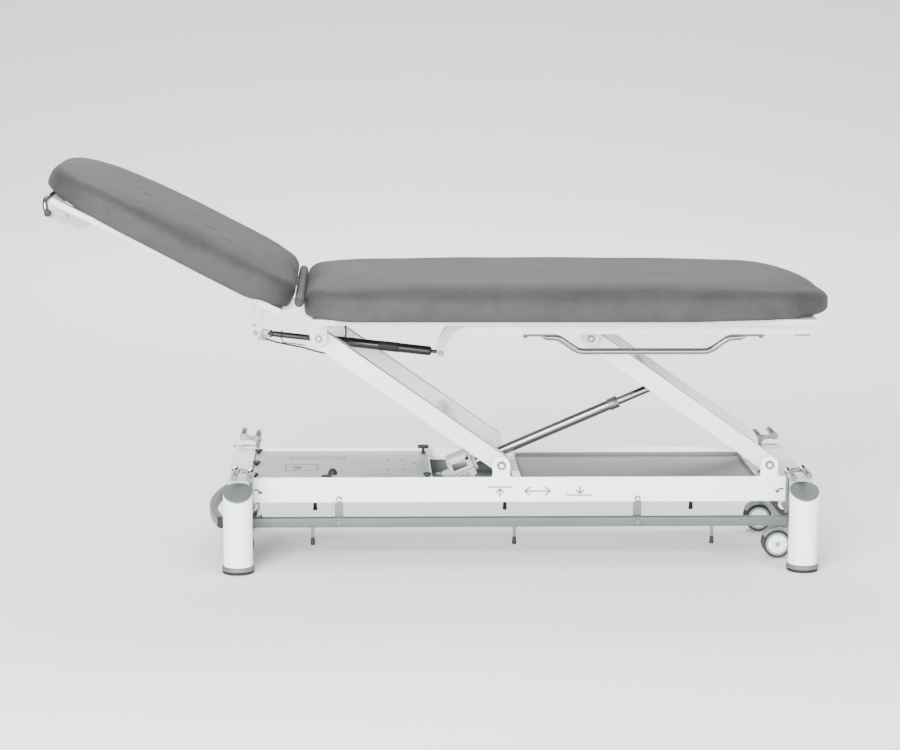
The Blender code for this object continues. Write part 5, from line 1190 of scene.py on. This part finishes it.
def pedal(x, z, end, side):
    """A shaft's crank, arm and loop: two round bars side by side between two bosses.

    The crank's outline is a circle whose centre and radius shift towards its tip; the bars are
    curves through three points, and the loop rises outwards.
    """
    rise, run = -0.0197, end * 0.0331
    turn = np.linspace(0, 2 * np.pi, 24, endpoint=False)
    t = (0.5 + 0.5 * np.cos(turn - np.arctan2(rise, run)))[:, None]
    radius = 0.011 * (1 - t) + 0.006 * t
    tip = np.array([x + run, z + rise])
    crank = np.array([x, z]) * (1 - t) + tip * t
    crank = crank + radius * np.stack([np.cos(turn), np.sin(turn)], axis=1)
    y, middle = side * 0.2135, side * 0.06
    arm = solid((0.005, 0.0), (0.005, 0.08), (0.0062, 0.086), (0.0062, 0.092))
    shells = [(slab(crank, middle - 0.005, middle + 0.005, 0.0008), ZINC),
              (turned(arm, (x, y, z), sides=24), CHROME)]
    reach, tilt = 0.04, np.radians(9.0)
    near = np.array([x, 0.2465])
    far = np.array([x + end * reach * np.cos(tilt), near[1] + reach * np.sin(tilt)])
    for off in (-0.0062, 0.0062):
        path = [(near[0], y, near[1] + off * 0.9),
                (0.5 * (near[0] + far[0]), y, 0.5 * (near[1] + far[1]) + off * 0.55),
                (far[0], y, far[1] + off * 0.9)]
        shells.append((swept(smooth(path, 6), circle(0.0028, 14), (0, 1, 0)), CHROME))
    low, high = 0.2095, 0.3005
    pad = solid((0.0098, low), (0.0105, low + 0.0008), (0.0105, low + 0.007),
                (0.0085, low + 0.0078), (0.0082, low + 0.012), (0.0085, low + 0.013),
                (0.0085, high - 0.01), (0.008, high - 0.0095), (0.008, high - 0.008),
                (0.0085, high - 0.0075), (0.0085, high - 0.0012), (0.0075, high))
    return shells + [(turned(pad, (px, 0, pz), (0, side, 0), 32), CHROME) for px,
                     pz in (near, far)]


class TABLE_OT_pedals(bpy.types.Operator):
    """The pedal shafts with their arms, loops and round pads"""
    bl_idname = "table.pedals"
    bl_label = "Pedals"

    def execute(self, context):
        shaft = solid((0.0074, -0.2185), (0.008, -0.2178), (0.008, 0.2178), (0.0074, 0.2185))
        for end, word in ENDS:
            x, z = end * 0.695, 0.148
            shells = [(turned(shaft, (x, 0, z), (0, 1, 0), 32), ZINC)]
            for side, _ in SIDES:
                shells += pedal(x, z, end, side)
            build(f"pedals_{word}_dressed", f"pedals_{word}", shells,
                  nodes=[f"pedal_shaft_{word}"])
        return {"FINISHED"}


class TABLE_OT_roll_holder(bpy.types.Operator):
    """The paper roll holder: side plates, hand knobs and a chrome bar"""
    bl_idname = "table.roll_holder"
    bl_label = "Roll holder"

    def execute(self, context):
        x, z = -0.674, -0.077
        half = [(x, -0.2617, z), (x, -0.255, z), (x - 0.01, -0.25, z + 0.004),
                (x - 0.02, -0.244, z + 0.02), (x - 0.018, -0.228, z + 0.031),
                (x - 0.016, -0.2, z + 0.033), (x - 0.016, -0.1, z + 0.033)]
        path = smooth([*half, *[(px, -py, pz) for px, py, pz in half[::-1]]], 8)
        bar = on_back(swept(path, circle(0.007, 20), (1, 0, 0.3)))
        build("roll_bar_dressed", "backrest", [(bar, CHROME)], nodes=["roll_bar"])
        for side, word in SIDES:
            # The plate runs from the frame's edge forward to the bar
            outline = np.array([(-0.64, -0.0506), (-0.56, -0.0506), (-0.5744, -0.07),
                                (-0.584, -0.077), (-0.596, -0.0782), (-0.664, -0.086),
                                (-0.6735, -0.0864), (-0.679, -0.083), (-0.68, -0.076),
                                (-0.677, -0.07), (-0.6734, -0.0676)])
            low, high = sorted((side * 0.262, side * 0.266))
            y = side * 0.266
            knob = solid((0.0055, 0.0165), (0.0078, 0.0155), (0.0088, 0.0135), (0.0088, 0.005),
                         (0.0076, 0.003), (0.0066, 0.0004), (0.0066, -0.0006))
            parts = [(slab(outline, low, high, 0.0006, "y"), PLATE_GREY),
                     (turned(knob, (x, y, z), (0, side, 0), 12), BLACK),
                     (bolt_head((-0.629, y - side * 0.0004, -0.067), (0, side, 0), 0.0062, 0.0046),
                      ZINC)]
            build(f"roll_plate_{word}_dressed", "backrest",
                  [(on_back(shell), material) for shell, material in parts],
                  nodes=[f"roll_plate_{word}"])
        return {"FINISHED"}


STEPS = (TABLE_OT_stage, TABLE_OT_pads, TABLE_OT_base, TABLE_OT_cover, TABLE_OT_lift,
         TABLE_OT_actuator, TABLE_OT_spring, TABLE_OT_grips, TABLE_OT_foot_bar, TABLE_OT_castors,
         TABLE_OT_pedals, TABLE_OT_roll_holder)


class TABLE_PT_panel(bpy.types.Panel):
    """Lists the table's pieces"""
    bl_label = "Examination table"
    bl_idname = "TABLE_PT_panel"
    bl_space_type = "VIEW_3D"
    bl_region_type = "UI"
    bl_category = "Table"

    def draw(self, context):
        for key in TableSizes.__annotations__:
            self.layout.prop(context.scene.table_sizes, key)
        for step in STEPS:
            self.layout.operator(step.bl_idname)


def register():
    for made in (TableSizes, *STEPS, TABLE_PT_panel):
        bpy.utils.register_class(made)
    bpy.types.Scene.table_sizes = bpy.props.PointerProperty(type=TableSizes)


def unregister():
    del bpy.types.Scene.table_sizes
    for made in (TABLE_PT_panel, *reversed(STEPS), TableSizes):
        bpy.utils.unregister_class(made)


def main():
    register()
    for step in STEPS:
        group, name = step.bl_idname.split(".")
        getattr(getattr(bpy.ops, group), name)()
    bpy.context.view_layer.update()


if __name__ == "__main__":
    main()
